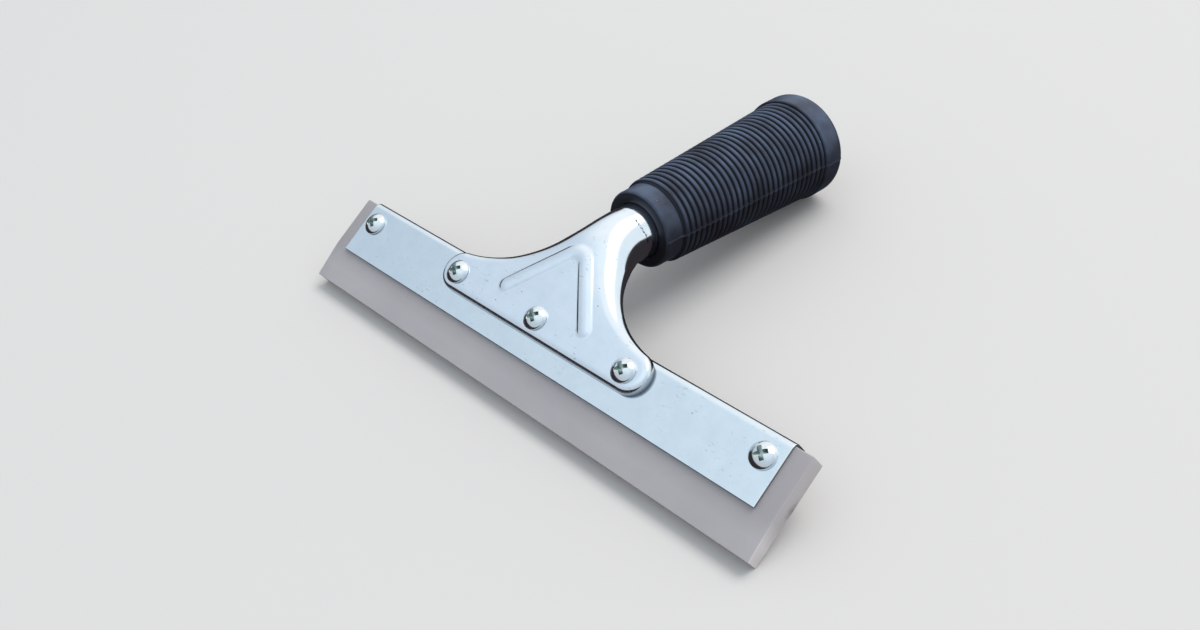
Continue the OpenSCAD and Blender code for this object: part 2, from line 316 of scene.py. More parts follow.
@dataclass(frozen=True)
class Bench:
    """Turns skins into Blender pieces in the row's frame.

    It joins points that are nearer to each other than `weld_mm` and takes out edges shorter than `sliver_mm`.
    """

    layout: Layout
    weld_mm: float = 0.002
    sliver_mm: float = 0.001

    def piece(self, name: str, skin: Skin, crease: float) -> bpy.types.Object:
        """Makes a welded, smooth-shaded piece.

        Args:
            name: Name of the piece.
            skin: Its patches, in millimetres in the blade's frame.
            crease: Faces that meet at more than this many degrees keep a crisp edge.

        Returns:
            The new object, linked to the scene.
        """
        mesh = bpy.data.meshes.new(name)
        mesh.from_pydata(self.layout.to_world(np.concatenate(skin.points)).tolist(), [], skin.faces)
        work = bmesh.new()
        work.from_mesh(mesh)
        bmesh.ops.remove_doubles(work, verts=work.verts, dist=self.weld_mm * METRES)
        bmesh.ops.dissolve_degenerate(work, edges=work.edges, dist=self.sliver_mm * METRES)
        bmesh.ops.recalc_face_normals(work, faces=work.faces)
        work.to_mesh(mesh)
        work.free()
        piece = bpy.data.objects.new(name, mesh)
        bpy.context.scene.collection.objects.link(piece)
        self.shade(piece, crease)
        return piece

    @staticmethod
    def shade(piece: bpy.types.Object, crease: float) -> None:
        """Shades a piece smooth, apart from edges sharper than a number of degrees."""
        piece.data.shade_smooth()
        piece.data.set_sharp_from_angle(angle=math.radians(crease))

    def cut(self, piece: bpy.types.Object, cutter: Skin, crease: float) -> None:
        """Cuts a skin's inside out of a piece.

        Args:
            piece: The piece that loses material.
            cutter: What is taken away.
            crease: As for piece().
        """
        tool = self.piece(piece.name + "_cutter", cutter, crease)
        step = piece.modifiers.new("cut", "BOOLEAN")
        step.operation, step.solver, step.object = "DIFFERENCE", "EXACT", tool
        self.apply(piece)
        bpy.data.objects.remove(tool)
        self.shade(piece, crease)

    @staticmethod
    def apply(piece: bpy.types.Object) -> None:
        """Makes the result of a piece's modifiers its own mesh.

        Args:
            piece: The piece.
        """
        scene_now = bpy.context.evaluated_depsgraph_get()
        mesh = bpy.data.meshes.new_from_object(piece.evaluated_get(scene_now))
        piece.modifiers.clear()
        old, piece.data = piece.data, mesh
        bpy.data.meshes.remove(old)
        piece.data.name = piece.name


def dress(piece: bpy.types.Object, node: str, body: str, material: bpy.types.Material) -> None:
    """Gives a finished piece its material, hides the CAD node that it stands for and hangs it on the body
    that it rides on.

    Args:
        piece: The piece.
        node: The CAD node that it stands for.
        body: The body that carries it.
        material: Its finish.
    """
    piece.data.materials.clear()
    piece.data.materials.append(material)
    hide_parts(node)
    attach(piece, body)
    LOG.info("%s rides on %s, %d faces", piece.name, body, len(piece.data.polygons))


def arc(centre: Point2, radius: float, start: float, end: float, steps: int) -> list[Point2]:
    """Points along an arc.

    Args:
        centre: Its centre.
        radius: Its radius.
        start: First angle in degrees.
        end: Last angle in degrees.
        steps: Number of steps between them.

    Returns:
        The points, both ends among them.
    """
    angles = [math.radians(start + (end - start) * i / steps) for i in range(steps + 1)]
    return [(centre[0] + radius * math.cos(a), centre[1] + radius * math.sin(a)) for a in angles]


def circle(steps: int) -> np.ndarray:
    """Evenly spaced angles of a full turn, in radians."""
    return np.arange(steps) * 2 * math.pi / steps


def smooth(value: Numbers) -> Numbers:
    """Eases from 0 to 1 as the value goes from 0 to 1."""
    part = np.clip(value, 0, 1)
    return part * part * (3 - 2 * part)


def both_halves(stations: list[tuple[float, np.ndarray]]) -> np.ndarray:
    """Mirrors the outlines of the right half, so that they run along the whole blade.

    Args:
        stations: For each outline, from the right end inwards, its place along the blade and its points in
            depth and height.

    Returns:
        Rings of points from the left end to the right one.
    """
    rows = [(-x, ring) for x, ring in stations] + stations[::-1]
    return np.array([[(x, y, z) for y, z in ring] for x, ring in rows])


def around_screw(
    layout: Layout, index: int, start: float, profile: np.ndarray, angles: np.ndarray
) -> np.ndarray:
    """Turns a profile about the line of a screw.

    Args:
        layout: The shared sizes.
        index: Number of the screw.
        start: Depth that the profile's lengths are counted from.
        profile: Rows of length and radius, or of length and one radius for each angle.
        angles: Angles about the line, in radians.

    Returns:
        Points in rows of equal place on the profile.
    """
    s, r = profile[:, :1], profile[:, 1:]
    return in_rows(layout.screw_x[index] + r * np.cos(angles), start + s, r * np.sin(angles))


def screw_holes(layout: Layout, screws: range, start: float, end: float, steps: int = 48) -> Skin:
    """Drills for the holes of some of the screws.

    Args:
        layout: The shared sizes.
        screws: Numbers of the screws.
        start: Depth where the drills start.
        end: Depth where they end.
        steps: Number of sides of a drill.

    Returns:
        One skin with all the drills.
    """
    skin = Skin()
    rod = np.array([[start, layout.hole_r], [end, layout.hole_r]])
    for index in screws:
        skin.bar(around_screw(layout, index, 0.0, rod, circle(steps)))
    return skin


# ---------------------------------------------------------------------------------------------------
# Finishes
# ---------------------------------------------------------------------------------------------------


def linear(value: str, gain: float = 1.0) -> Colour:
    """Turns an sRGB hex value into the linear colour that a shader takes.

    Args:
        value: The colour, such as #c0d0f0.
        gain: How many times as bright as that it shines.

    Returns:
        Its red, green and blue, with a full alpha.
    """
    parts = [int(value[i : i + 2], 16) / 255 for i in (1, 3, 5)]
    red, green, blue = (p / 12.92 if p <= 0.04045 else ((p + 0.055) / 1.055) ** 2.4 for p in parts)
    return (red * gain, green * gain, blue * gain, 1.0)


def per_metre(size: float) -> float:
    """Scale of a pattern whose features are that many millimetres apart."""
    return 1 / (size * METRES)


def add_node(
    tree: bpy.types.NodeTree, kind: str, inputs: dict[Any, Any] | None = None, **settings: Any
) -> bpy.types.Node:
    """Adds a node with its settings, values and links.

    Args:
        tree: The tree that it goes into.
        kind: Its type, without the word ShaderNode that every type starts with.
        inputs: For each socket, by name or number, its value or the socket that feeds it.
        **settings: The node's own properties.

    Returns:
        The node.
    """
    node = tree.nodes.new("ShaderNode" + kind)
    for name, value in settings.items():
        setattr(node, name, value)
    for key, value in (inputs or {}).items():
        if isinstance(value, bpy.types.NodeSocket):
            tree.links.new(value, node.inputs[key])
        else:
            node.inputs[key].default_value = value
    return node


class Kind(Enum):
    """Nodes that materials add row by row: their type, the sockets that a row fills and their output."""

    STRETCH = ("Mapping", ("Vector", "Scale", "Rotation"), "Vector")
    NOISE = ("TexNoise", ("Vector", "Scale", "Detail", "Roughness"), "Fac")
    SPAN = ("MapRange", ("Value", "From Min", "From Max", "To Min", "To Max"), "Result")
    MATH = ("Math", (0, 1, 2), "Value")
    VECTOR = ("VectorMath", (0, 1), "Value")


@dataclass
class Recipe:
    """A new material, its place coordinates, and its one shader."""

    name: str
    material: bpy.types.Material = field(init=False)
    tree: bpy.types.NodeTree = field(init=False)
    place: bpy.types.NodeSocket = field(init=False)

    def __post_init__(self) -> None:
        """Starts the material with an empty tree."""
        self.material = bpy.data.materials.new(self.name)
        self.material.use_nodes = True
        self.tree = self.material.node_tree
        self.tree.nodes.clear()
        self.place = add_node(self.tree, "TexCoord").outputs["Object"]

    def each(self, kind: Kind, *rows: tuple[Any, ...], **settings: Any) -> list[bpy.types.NodeSocket]:
        """Adds a node for each row of values and links.

        Args:
            kind: What the nodes are.
            *rows: For each node the values of its sockets, as far as they aren't the usual ones.
            **settings: Properties that all of them have.

        Returns:
            The output of each.
        """
        name, sockets, output = kind.value
        nodes = [add_node(self.tree, name, dict(zip(sockets, row)), **settings) for row in rows]
        return [node.outputs[output] for node in nodes]

    def flecks(self, apart_mm: float, rim: Point2, cover: float, rare: float) -> bpy.types.NodeSocket:
        """Scatters small round flecks: a cell shows one only where its random number is high.

        Args:
            apart_mm: Distance between the cells.
            rim: Where a fleck starts to fade and where it ends, as shares of that distance.
            cover: How much its middle covers.
            rare: Number from 0 to 1 over which a cell shows its fleck.

        Returns:
            The socket that covers the flecks.
        """
        spread = {"Vector": self.place, "Scale": per_metre(apart_mm)}
        cells = add_node(self.tree, "TexVoronoi", spread).outputs
        number = add_node(self.tree, "SeparateColor", {"Color": cells["Color"]}).outputs[0]
        (near,) = self.each(Kind.SPAN, (cells["Distance"], *rim, cover, 0.0))
        (chosen,) = self.each(Kind.MATH, (number, rare), operation="GREATER_THAN")
        return self.each(Kind.MATH, (near, chosen), operation="MULTIPLY")[0]

    def sideways(self, vector: bpy.types.NodeSocket, limit: float) -> bpy.types.NodeSocket:
        """Finds where a place or a direction goes far to the left or the right.

        Args:
            vector: The place or the direction.
            limit: How far its part along the blade has to go.

        Returns:
            The socket that is 1 there.
        """
        part = add_node(self.tree, "SeparateXYZ", {"Vector": vector}).outputs["X"]
        (far,) = self.each(Kind.MATH, (part,), operation="ABSOLUTE")
        return self.each(Kind.MATH, (far, limit), operation="GREATER_THAN")[0]

    def finish(
        self,
        base: Colour,
        coats: list[tuple[bpy.types.NodeSocket, Any]],
        relief: list[tuple[bpy.types.NodeSocket, float, float]],
        shader_inputs: dict[str, Any],
    ) -> bpy.types.Material:
        """Ends the material with its coats of colour, its relief and its one shader.

        Args:
            base: The lowest colour.
            coats: For each coat over it, the socket that is 1 where it covers, and its colour or a socket.
            relief: For each layer, the coarse ones first, its pattern, its height in millimetres and its
                strength.
            shader_inputs: The other values and links of the Principled shader.

        Returns:
            The material.
        """
        colour: Any = base
        for mask, coat in coats:
            colour = add_node(self.tree, "Mix", {0: mask, 6: colour, 7: coat}, data_type="RGBA").outputs[2]
        surface: dict[str, Any] = {}
        for pattern, height_mm, strength in relief:
            layer = {"Height": pattern, "Distance": height_mm * METRES, "Strength": strength}
            surface["Normal"] = add_node(self.tree, "Bump", {**layer, **surface}).outputs["Normal"]
        shader = add_node(self.tree, "BsdfPrincipled", {"Base Color": colour, **surface, **shader_inputs})
        add_node(self.tree, "OutputMaterial", {"Surface": shader.outputs["BSDF"]})
        return self.material


@dataclass(frozen=True)
class Foot:
    """Painted shade where one sheet stands on another: the sheet darkens towards the joint.

    Heights are counted along `out`, in metres, and the painted shade reaches as far up the tool as `up_end`.
    """

    out: Vector
    out_start: float
    up: Vector
    up_end: float
    reach_mm: float = 2.9
    fade_mm: float = 1.5
    cover: float = 0.95

    def mask(self, r: Recipe) -> bpy.types.NodeSocket:
        """Draws the painted shade.

        Args:
            r: The recipe that it goes into.

        Returns:
            The socket that grows towards the foot.
        """
        height, along = r.each(Kind.VECTOR, (r.place, self.out), (r.place, self.up), operation="DOT_PRODUCT")
        reach, fade = self.reach_mm * METRES, self.fade_mm * METRES
        rising = (height, self.out_start, self.out_start + reach, self.cover, 0.0)
        (near,) = r.each(Kind.SPAN, rising, interpolation_type="SMOOTHSTEP")
        (inside,) = r.each(Kind.SPAN, (along, self.up_end - fade, self.up_end, 1.0, 0.0))
        return r.each(Kind.MATH, (near, inside), operation="MULTIPLY")[0]


@dataclass(frozen=True)
class Score:
    """The ragged scratch that the grip's edge has worn into the neck.

    Its corner is a place in the row's frame, in metres.
    """

    corner: Point3
    long_mm: float = 5.6
    half_wide_mm: float = 0.2
    across_mm: float = 1.2
    ragged_mm: float = 0.8
    swing_mm: float = 2.4

    def mask(self, r: Recipe) -> bpy.types.NodeSocket:
        """Draws the scratch.

        Args:
            r: The recipe that it goes into.

        Returns:
            The socket that is 1 in the scratch.
        """
        side, middle = self.corner[0], self.corner[1] + self.across_mm * METRES
        low = self.corner[2] - self.long_mm * METRES
        x, y, z = add_node(r.tree, "SeparateXYZ", {"Vector": r.place}).outputs
        (shake,) = r.each(Kind.NOISE, (r.place, per_metre(self.ragged_mm), 3.0))
        (swung,) = r.each(Kind.MATH, (shake, self.swing_mm * METRES, y), operation="MULTIPLY_ADD")
        (line,) = r.each(Kind.MATH, (swung, middle, self.half_wide_mm * METRES), operation="COMPARE")
        beside, above = r.each(Kind.MATH, (x, side), (z, low), operation="GREATER_THAN")
        (corner,) = r.each(Kind.MATH, (beside, above), operation="MULTIPLY")
        return r.each(Kind.MATH, (line, corner), operation="MULTIPLY")[0]


@dataclass(frozen=True)
class BuffedStainless:
    """Cold-rolled stainless sheet, pressed and buffed bright, which mirrors the room a little softly."""

    name: str
    light: str = "#eef5fa"
    dull: str = "#d9e4ec"
    scuffed: str = "#cdd8df"
    speck: str = "#59646c"
    sheared: str = "#a39c98"
    # Colour of the painted shade along the foot.
    dirt: str = "#5c5f66"
    roughness: Point2 = (0.07, 0.15)
    sheared_roughness: float = 0.45
    wave_mm: float = 17.0
    wave_height_mm: float = 0.05
    cloud_mm: float = 6.0
    buff_mm: float = 0.9
    buff_height_mm: float = 0.002
    knock_mm: float = 0.7
    patch_mm: float = 11.0
    speck_mm: float = 3.6
    cut_from_mm: float = 90.0
    cut_facing: float = 0.99
    score: Score | None = None
    foot: Foot | None = None

    def material(self) -> bpy.types.Material:
        """Builds the finish: slow waves of the sheet, buffing haze, scuffs, specks, matt cut ends and painted
        shade along a foot.

        Returns:
            The material.
        """
        r = Recipe(self.name)
        along, aslant = r.each(
            Kind.STRETCH, (r.place, (0.05, 1.0, 1.0)), (r.place, (0.35, 1.0, 1.0), (0.5, 0.3, 0.9))
        )
        wave, cloud, buff, knock, patch = r.each(
            Kind.NOISE,
            # The press leaves the sheet very slightly wavy, so that the flats shade slowly.
            (r.place, per_metre(self.wave_mm), 1.0),
            # Buffing clouds: patches of softer polish a few millimetres across.
            (r.place, per_metre(self.cloud_mm), 5.0, 0.6),
            # Buffing lines run along the blade; the real ones are finer than the render can show.
            (along, per_metre(self.buff_mm), 2.0),
            # Scuffs of use: small knocks take the first shine away, in patches a centimetre across.
            (aslant, per_metre(self.knock_mm), 1.0),
            (r.place, per_metre(self.patch_mm), 2.0),
        )
        knocked, used, rough = r.each(
            Kind.SPAN, (knock, 0.64, 0.74), (patch, 0.48, 0.62), (cloud, 0.35, 0.65, *self.roughness)
        )
        # Pits and specks of dirt, sparse.
        speck = r.flecks(self.speck_mm, (0.04, 0.075), 0.8, 0.74)
        if self.score:
            (speck,) = r.each(Kind.MATH, (speck, self.score.mask(r)), operation="MAXIMUM")
        # The shears leave the sheet's cut ends matt and greyish brown.
        facing = add_node(r.tree, "NewGeometry").outputs["True Normal"]
        square = r.sideways(facing, self.cut_facing)
        at_end = r.sideways(r.place, self.cut_from_mm * METRES)
        scuff, cut = r.each(Kind.MATH, (knocked, used), (square, at_end), operation="MULTIPLY")
        (rough,) = r.each(Kind.MATH, (cut, self.sheared_roughness, rough), operation="MULTIPLY_ADD")
        coats = [(cloud, self.dull), (scuff, self.scuffed), (speck, self.speck), (cut, self.sheared)]
        # Painted shade along the foot, where the bracket's flange stands on the channel.
        if self.foot:
            coats.append((self.foot.mask(r), self.dirt))
        return r.finish(
            linear(self.light),
            [(mask, linear(colour)) for mask, colour in coats],
            [(wave, self.wave_height_mm, 1.0), (buff, self.buff_height_mm, 0.5)],
            {"Metallic": 1.0, "Roughness": rough},
        )


class Plating(Enum):
    """How a small steel part was finished: its name, its two colours and its least and most roughness."""

    # Chrome over nickel on a cold-headed head gives a clear mirror.
    BRIGHT_CHROME = ("chrome_plated_steel", "#f2f6f8", "#dfe7ec", 0.06, 0.14)
    # Zinc as it comes from the barrel gives a clouded, greyer mirror.
    PLAIN_ZINC = ("zinc_plated_steel", "#cdd3d6", "#b5bdc2", 0.22, 0.36)
    # Hardened spring steel in a film of oil is dark, with broad lights.
    OILED_SPRING = ("oiled_spring_steel", "#9aa0a5", "#83898f", 0.28, 0.42)
    # Plating hardly reaches into a narrow recess, which stays dull; its darker colours there are also painted
    # shade.
    THIN_CHROME = ("thin_chrome_in_recess", "#c3cecb", "#93a19d", 0.16, 0.34)


@dataclass(frozen=True)
class PlatedSteel:
    """Cold-headed or turned steel with a thin finish, which shows as a clear or a clouded mirror."""

    plating: Plating
    cloud_mm: float = 1.3
    grain_mm: float = 0.35
    grain_height_mm: float = 0.004

    def material(self) -> bpy.types.Material:
        """Builds the finish: clouds in the plating about a millimetre across, and a faint grain.

        Returns:
            The material.
        """
        name, light, dull, least, most = self.plating.value
        r = Recipe(name)
        cloud, grain = r.each(
            Kind.NOISE,
            # The plating dulls in small clouds, which break up the mirror.
            (r.place, per_metre(self.cloud_mm), 3.0),
            # The metal's own grain is finer than this; it is drawn as coarse as it needs to show.
            (r.place, per_metre(self.grain_mm), 2.0),
        )
        (rough,) = r.each(Kind.SPAN, (cloud, 0.35, 0.65, least, most))
        relief = [(grain, self.grain_height_mm, 0.4)]
        return r.finish(linear(light), [(cloud, linear(dull))], relief, {"Metallic": 1.0, "Roughness": rough})


@dataclass(frozen=True)
class GumRubber:
    """Extruded grey gum rubber, cut to length: matt, a little translucent, with a faint bloom.

    The stain's place, the way up the blade and the height of the steel's edge come from the layout.
    """

    stain_at: Vector
    up_blade: Vector
    mouth_height: float
    name: str = "grey_gum_rubber"
    light: str = "#b5b0b2"
    deep: str = "#a39ea1"
    # Colour of the painted light on the cut end.
    cut_end: str = "#cfc9c9"
    stain: str = "#4d3f39"
    # Colour of the painted shade where the blade leaves the steel.
    film: str = "#8f8b8d"
    roughness: Point2 = (0.5, 0.62)
    see_in_mm: Point3 = (2.2, 2.0, 1.9)
    cloud_mm: float = 25.0
    drag_mm: float = 0.8
    drag_height_mm: float = 0.012
    skin_mm: float = 0.4
    skin_height_mm: float = 0.008
    cut_skin_mm: float = 0.12
    stain_rim_mm: Point2 = (2.04, 5.44)
    ragged_mm: float = 4.0
    film_mm: float = 7.0

    def material(self) -> bpy.types.Material:
        """Builds the finish: slow colour clouds, drag marks of the extrusion, a fine skin, a street stain, a
        cut end painted paler as painted light, and painted shade where the blade leaves the steel.

        Returns:
            The material.
        """
        r = Recipe(self.name)
        (drawn,) = r.each(Kind.STRETCH, (r.place, (0.02, 1.0, 1.0)))
        cloud, drag, skin = r.each(
            Kind.NOISE,
            # Clouds of filler, some 25 mm long.
            (r.place, per_metre(self.cloud_mm), 3.0),
            # Drag marks of the extrusion run along the blade, a few tenths of a millimetre apart.
            (drawn, per_metre(self.drag_mm), 2.0),
            # The skin's own grain is finer than this; it is drawn as coarse as it needs to show.
            (r.place, per_metre(self.skin_mm), 2.0),
        )
        (from_stain,) = r.each(Kind.VECTOR, (r.place, self.stain_at), operation="DISTANCE")
        (height,) = r.each(Kind.VECTOR, (r.place, self.up_blade), operation="DOT_PRODUCT")
        (reach,) = r.each(Kind.MATH, (drag, self.ragged_mm * METRES, from_stain), operation="MULTIPLY_ADD")
        stain, film, rough = r.each(
            Kind.SPAN,
            # Street dirt that is rubbed into the cut end, with a ragged rim.
            (reach, *(rim * METRES for rim in self.stain_rim_mm), 0.85, 0.0),
            # Painted shade where the blade comes out of the steel: the rubber darkens towards the channel's
            # edge.
            (height, self.mouth_height - self.film_mm * METRES, self.mouth_height, 0.0, 0.55),
            (skin, 0.3, 0.7, *self.roughness),
        )
        # Painted light: the cut end is painted paler, so that it looks as lit as the front.
        at_end = r.sideways(r.place, self.stain_at[0] - self.cut_skin_mm * METRES)
        coats = [(cloud, self.deep), (at_end, self.cut_end), (stain, self.stain), (film, self.film)]
        return r.finish(
            linear(self.light),
            [(mask, linear(colour)) for mask, colour in coats],
            [(drag, self.drag_height_mm, 0.5), (skin, self.skin_height_mm, 0.5)],
            {
                "Roughness": rough,
                "IOR": 1.52,
                "Subsurface Weight": 0.25,
                "Subsurface Radius": tuple(depth * METRES for depth in self.see_in_mm),
                "Subsurface Scale": 1.0,
            },
        )


@dataclass(frozen=True)
class MouldedBlackRubber:
    """Compression-moulded black rubber: satin, with a bluish bloom and painted light on its upper side and
    its crests, and painted shade in its grooves.
    """

    name: str = "moulded_black_rubber"
    deep: str = "#1c191b"
    # Bloom colour with painted light in it, for the crests on the upper side.
    bloom: str = "#4e5b70"
    faint_bloom: str = "#2c2b33"
    dust: str = "#8a90a2"
    shine: str = "#c0d0f0"
    sheen: str = "#8fa9e0"
    roughness: Point2 = (0.3, 0.44)
    patch_mm: float = 9.0
    pore_mm: float = 0.45
    pore_height_mm: float = 0.02
    dust_mm: float = 3.2
    # Share of the bloom and painted top light that the underside keeps.
    under_bloom: float = 0.22

    def material(self) -> bpy.types.Material:
        """Builds the finish: clouds of bloom and painted light on the crests, fine pores and a few pale
        specks of dust.

        Returns:
            The material.
        """
        r = Recipe(self.name)
        cloud, pores = r.each(
            Kind.NOISE,
            # Bloom, with its painted light, comes to the surface in patches about a centimetre across.
            (r.place, per_metre(self.patch_mm), 6.0),
            # The pores of the mould's skin, drawn as coarse as they need to show.
            (r.place, per_metre(self.pore_mm), 3.0),
        )
        facing = add_node(r.tree, "NewGeometry").outputs["Normal"]
        facing_up = add_node(r.tree, "SeparateXYZ", {"Vector": facing}).outputs["Z"]
        upper, patches, rough = r.each(
            Kind.SPAN,
            # Painted light: the bluish colour is strongest on the side that faces up, where the light falls.
            (facing_up, 0.0, 0.9, self.under_bloom),
            (cloud, 0.3, 0.7),
            (cloud, 0.3, 0.7, *self.roughness),
        )
        # Painted shade: the grooves stay black, and only the crests take the bloom and its painted light.
        crest = add_node(r.tree, "Attribute", attribute_name=CREST).outputs["Fac"]
        (rubbed,) = r.each(Kind.MATH, (crest, upper), operation="MULTIPLY")
        blooms = {0: patches, 6: linear(self.faint_bloom), 7: linear(self.bloom)}
        bloom = add_node(r.tree, "Mix", blooms, data_type="RGBA").outputs[2]
        dust = r.flecks(self.dust_mm, (0.03, 0.06), 1.0, 0.88)
        return r.finish(
            linear(self.deep),
            [(rubbed, bloom), (dust, linear(self.dust))],
            [(pores, self.pore_height_mm, 0.5)],
            {
                "Roughness": rough,
                "IOR": 1.52,
                "Specular IOR Level": 0.42,
                "Specular Tint": linear(self.shine),
                "Sheen Weight": 0.05,
                "Sheen Roughness": 0.4,
                "Sheen Tint": linear(self.sheen),
            },
        )


# ---------------------------------------------------------------------------------------------------
# Blade
# ---------------------------------------------------------------------------------------------------


@dataclass
class Blade:
    """The rubber blade: square where it stands free, pressed round where the channel's folds hold it."""

    layout: Layout
    free_corner_r: float = 0.35
    held_corner_r: float = 1.3
    held_in: float = 1.2
    free_out: float = 0.1
    tip_r: float = 0.3
    end_round: float = 0.3
    end_break: float = 0.09
    stain_in: float = 0.3
    stain_low: float = 1.5
    drill_past: float = 1.0
    corner_steps: int = 6
    crease: float = 32.0

    def section(self, inset: float, top_r: float) -> np.ndarray:
        """Outline of the blade in depth and height.

        Args:
            inset: How far the outline lies inside the full one.
            top_r: Radius of the two corners along the back.

        Returns:
            The points of the outline.
        """
        lay = self.layout
        front, back = lay.channel_sheet + inset, lay.tip_back - inset
        top, tip = lay.screw_drop - lay.channel_sheet - inset, lay.tip_z + inset
        tip_front = lay.tip_back - lay.tip_t + inset
        lean = math.degrees(math.atan2(tip_front - front, lay.channel_mouth - tip))
        r, t, n = top_r, self.tip_r, self.corner_steps
        outline = arc((front + r, top - r), r, 90, 180, n)
        outline += [(front, lay.channel_mouth)]
        outline += arc((tip_front + t, tip + t), t, 180 + lean, 270, n)
        outline += arc((back - t, tip + t), t, 270, 360, n)
        outline += arc((back - r, top - r), r, 0, 90, n)
        return np.array(outline)

    def build(self, bench: Bench) -> bpy.types.Object:
        """Builds the blade with its five holes.

        Args:
            bench: What makes its mesh.

        Returns:
            The piece.
        """
        lay = self.layout
        half, hold = lay.blade_len / 2, lay.channel_len / 2
        free, held = self.free_corner_r, self.held_corner_r
        stations = [
            (x, self.section(inset, corner_r))
            for x, inset, corner_r in (
                (half, self.end_round, free),
                (half - self.end_break, self.end_break, free),
                (half - self.end_round, 0.0, free),
                (hold + self.free_out, 0.0, free),
                (hold - self.held_in, 0.0, held),
                (hold / 2, 0.0, held),
            )
        ]
        skin = Skin()
        skin.bar(both_halves(stations))
        piece = bench.piece("rubber_blade", skin, self.crease)
        drills = screw_holes(lay, lay.every_screw, -self.drill_past, lay.channel_t + self.drill_past)
        bench.cut(piece, drills, self.crease)
        return piece

    def make(self, bench: Bench) -> None:
        """Builds and dresses the blade.

        Args:
            bench: What makes its mesh.
        """
        lay = self.layout
        up = lay.way(0.0, 0.0, 1.0)
        mouth = lay.spot(0.0, lay.channel_sheet, lay.channel_mouth)
        stain_z = lay.channel_mouth / 2 - self.stain_low
        stain = lay.spot(lay.blade_len / 2, lay.tip_back - self.stain_in, stain_z)
        rubber = GumRubber(stain, up, mouth.dot(up))
        dress(self.build(bench), "blade", "tool", rubber.material())


# ---------------------------------------------------------------------------------------------------
# Channel
# ---------------------------------------------------------------------------------------------------


@dataclass
class BladeChannel:
    """The folded sheet that clamps the blade, with true fold radii and broken edges."""

    layout: Layout
    fold_r: float = 2.4
    edge_round: float = 0.16
    break_share: float = 0.3
    fold_steps: int = 12
    support: float = 0.4
    drill_past: float = 1.0
    crease: float = 32.0

    def middle_line(self) -> tuple[np.ndarray, np.ndarray]:
        """Line through the middle of the sheet, from the front mouth over the back to the rear mouth.

        Returns:
            Its points in depth and height, and its outward directions.
        """
        lay = self.layout
        half, bend = lay.channel_sheet / 2, lay.screw_drop - self.fold_r
        front, rear = self.fold_r, lay.channel_t - self.fold_r
        line = [(half, lay.channel_mouth), (half, bend - self.support)]
        line += arc((front, bend), self.fold_r - half, 180, 90, self.fold_steps)
        line += [(front + self.support, lay.screw_drop - half), (rear - self.support, lay.screw_drop - half)]
        line += arc((rear, bend), self.fold_r - half, 90, 0, self.fold_steps)
        line += [(lay.channel_t - half, bend - self.support), (lay.channel_t - half, lay.channel_mouth)]
        out = [(-1.0, 0.0)] * 2 + arc((0.0, 0.0), 1.0, 180, 90, self.fold_steps)
        out += [(0.0, 1.0)] * 2 + arc((0.0, 0.0), 1.0, 90, 0, self.fold_steps) + [(1.0, 0.0)] * 2
        return np.array(line), np.array(out)

    def section(self, inset: float) -> np.ndarray:
        """Closed outline of the sheet in depth and height.

        Args:
            inset: How far it is drawn in from the full one, as it is at the ends of the channel.

        Returns:
            Its points: the outside, the rear edge, the inside and the front edge.
        """
        line, out = self.middle_line()
        half = self.layout.channel_sheet / 2 - inset
        c = self.edge_round
        rise = np.zeros_like(line)
        rise[0, 1] = rise[-1, 1] = c + inset
        outer, inner = line + rise + out * half, line + rise - out * half
        tips = []
        for end in (-1, 0):
            foot = line[end] + np.array([0.0, inset])
            tips.append([foot + out[end] * (half - c), foot - out[end] * (half - c)])
        rear, front = tips
        return np.array([*outer, *rear, *inner[::-1], *front[::-1]])

    def build(self, bench: Bench) -> bpy.types.Object:
        """Builds the channel with its ten holes.

        Args:
            bench: What makes its mesh.

        Returns:
            The piece.
        """
        lay, e = self.layout, self.edge_round
        half, first = lay.channel_len / 2, self.break_share * self.edge_round
        places = ((half, e), (half - first, first), (half - e, 0.0), (half - e - self.support, 0.0))
        patch = both_halves([(x, self.section(inset)) for x, inset in places])
        skin = Skin()
        skin.grid(patch, closed=True)
        # Each end is a strip from mouth to mouth, with a small face at either tip.
        count = (patch.shape[1] - 4) // 2
        for row in (patch[0], patch[-1]):
            outer, rear, inner, front = np.split(row, (count, count + 2, 2 * count + 2))
            skin.grid(np.stack([outer, inner[::-1]]))
            skin.lid(np.array([outer[-1], *rear, inner[0]]))
            skin.lid(np.array([inner[-1], *front, outer[0]]))
        piece = bench.piece("blade_channel_sheet", skin, self.crease)
        drills = screw_holes(lay, lay.every_screw, -self.drill_past, lay.channel_t + self.drill_past)
        bench.cut(piece, drills, self.crease)
        return piece

    def make(self, bench: Bench, material: bpy.types.Material) -> None:
        """Builds and dresses the channel.

        Args:
            bench: What makes its mesh.
            material: Its finish.
        """
        dress(self.build(bench), "blade_channel", "tool", material)


# ---------------------------------------------------------------------------------------------------
# Handle bracket
# ---------------------------------------------------------------------------------------------------


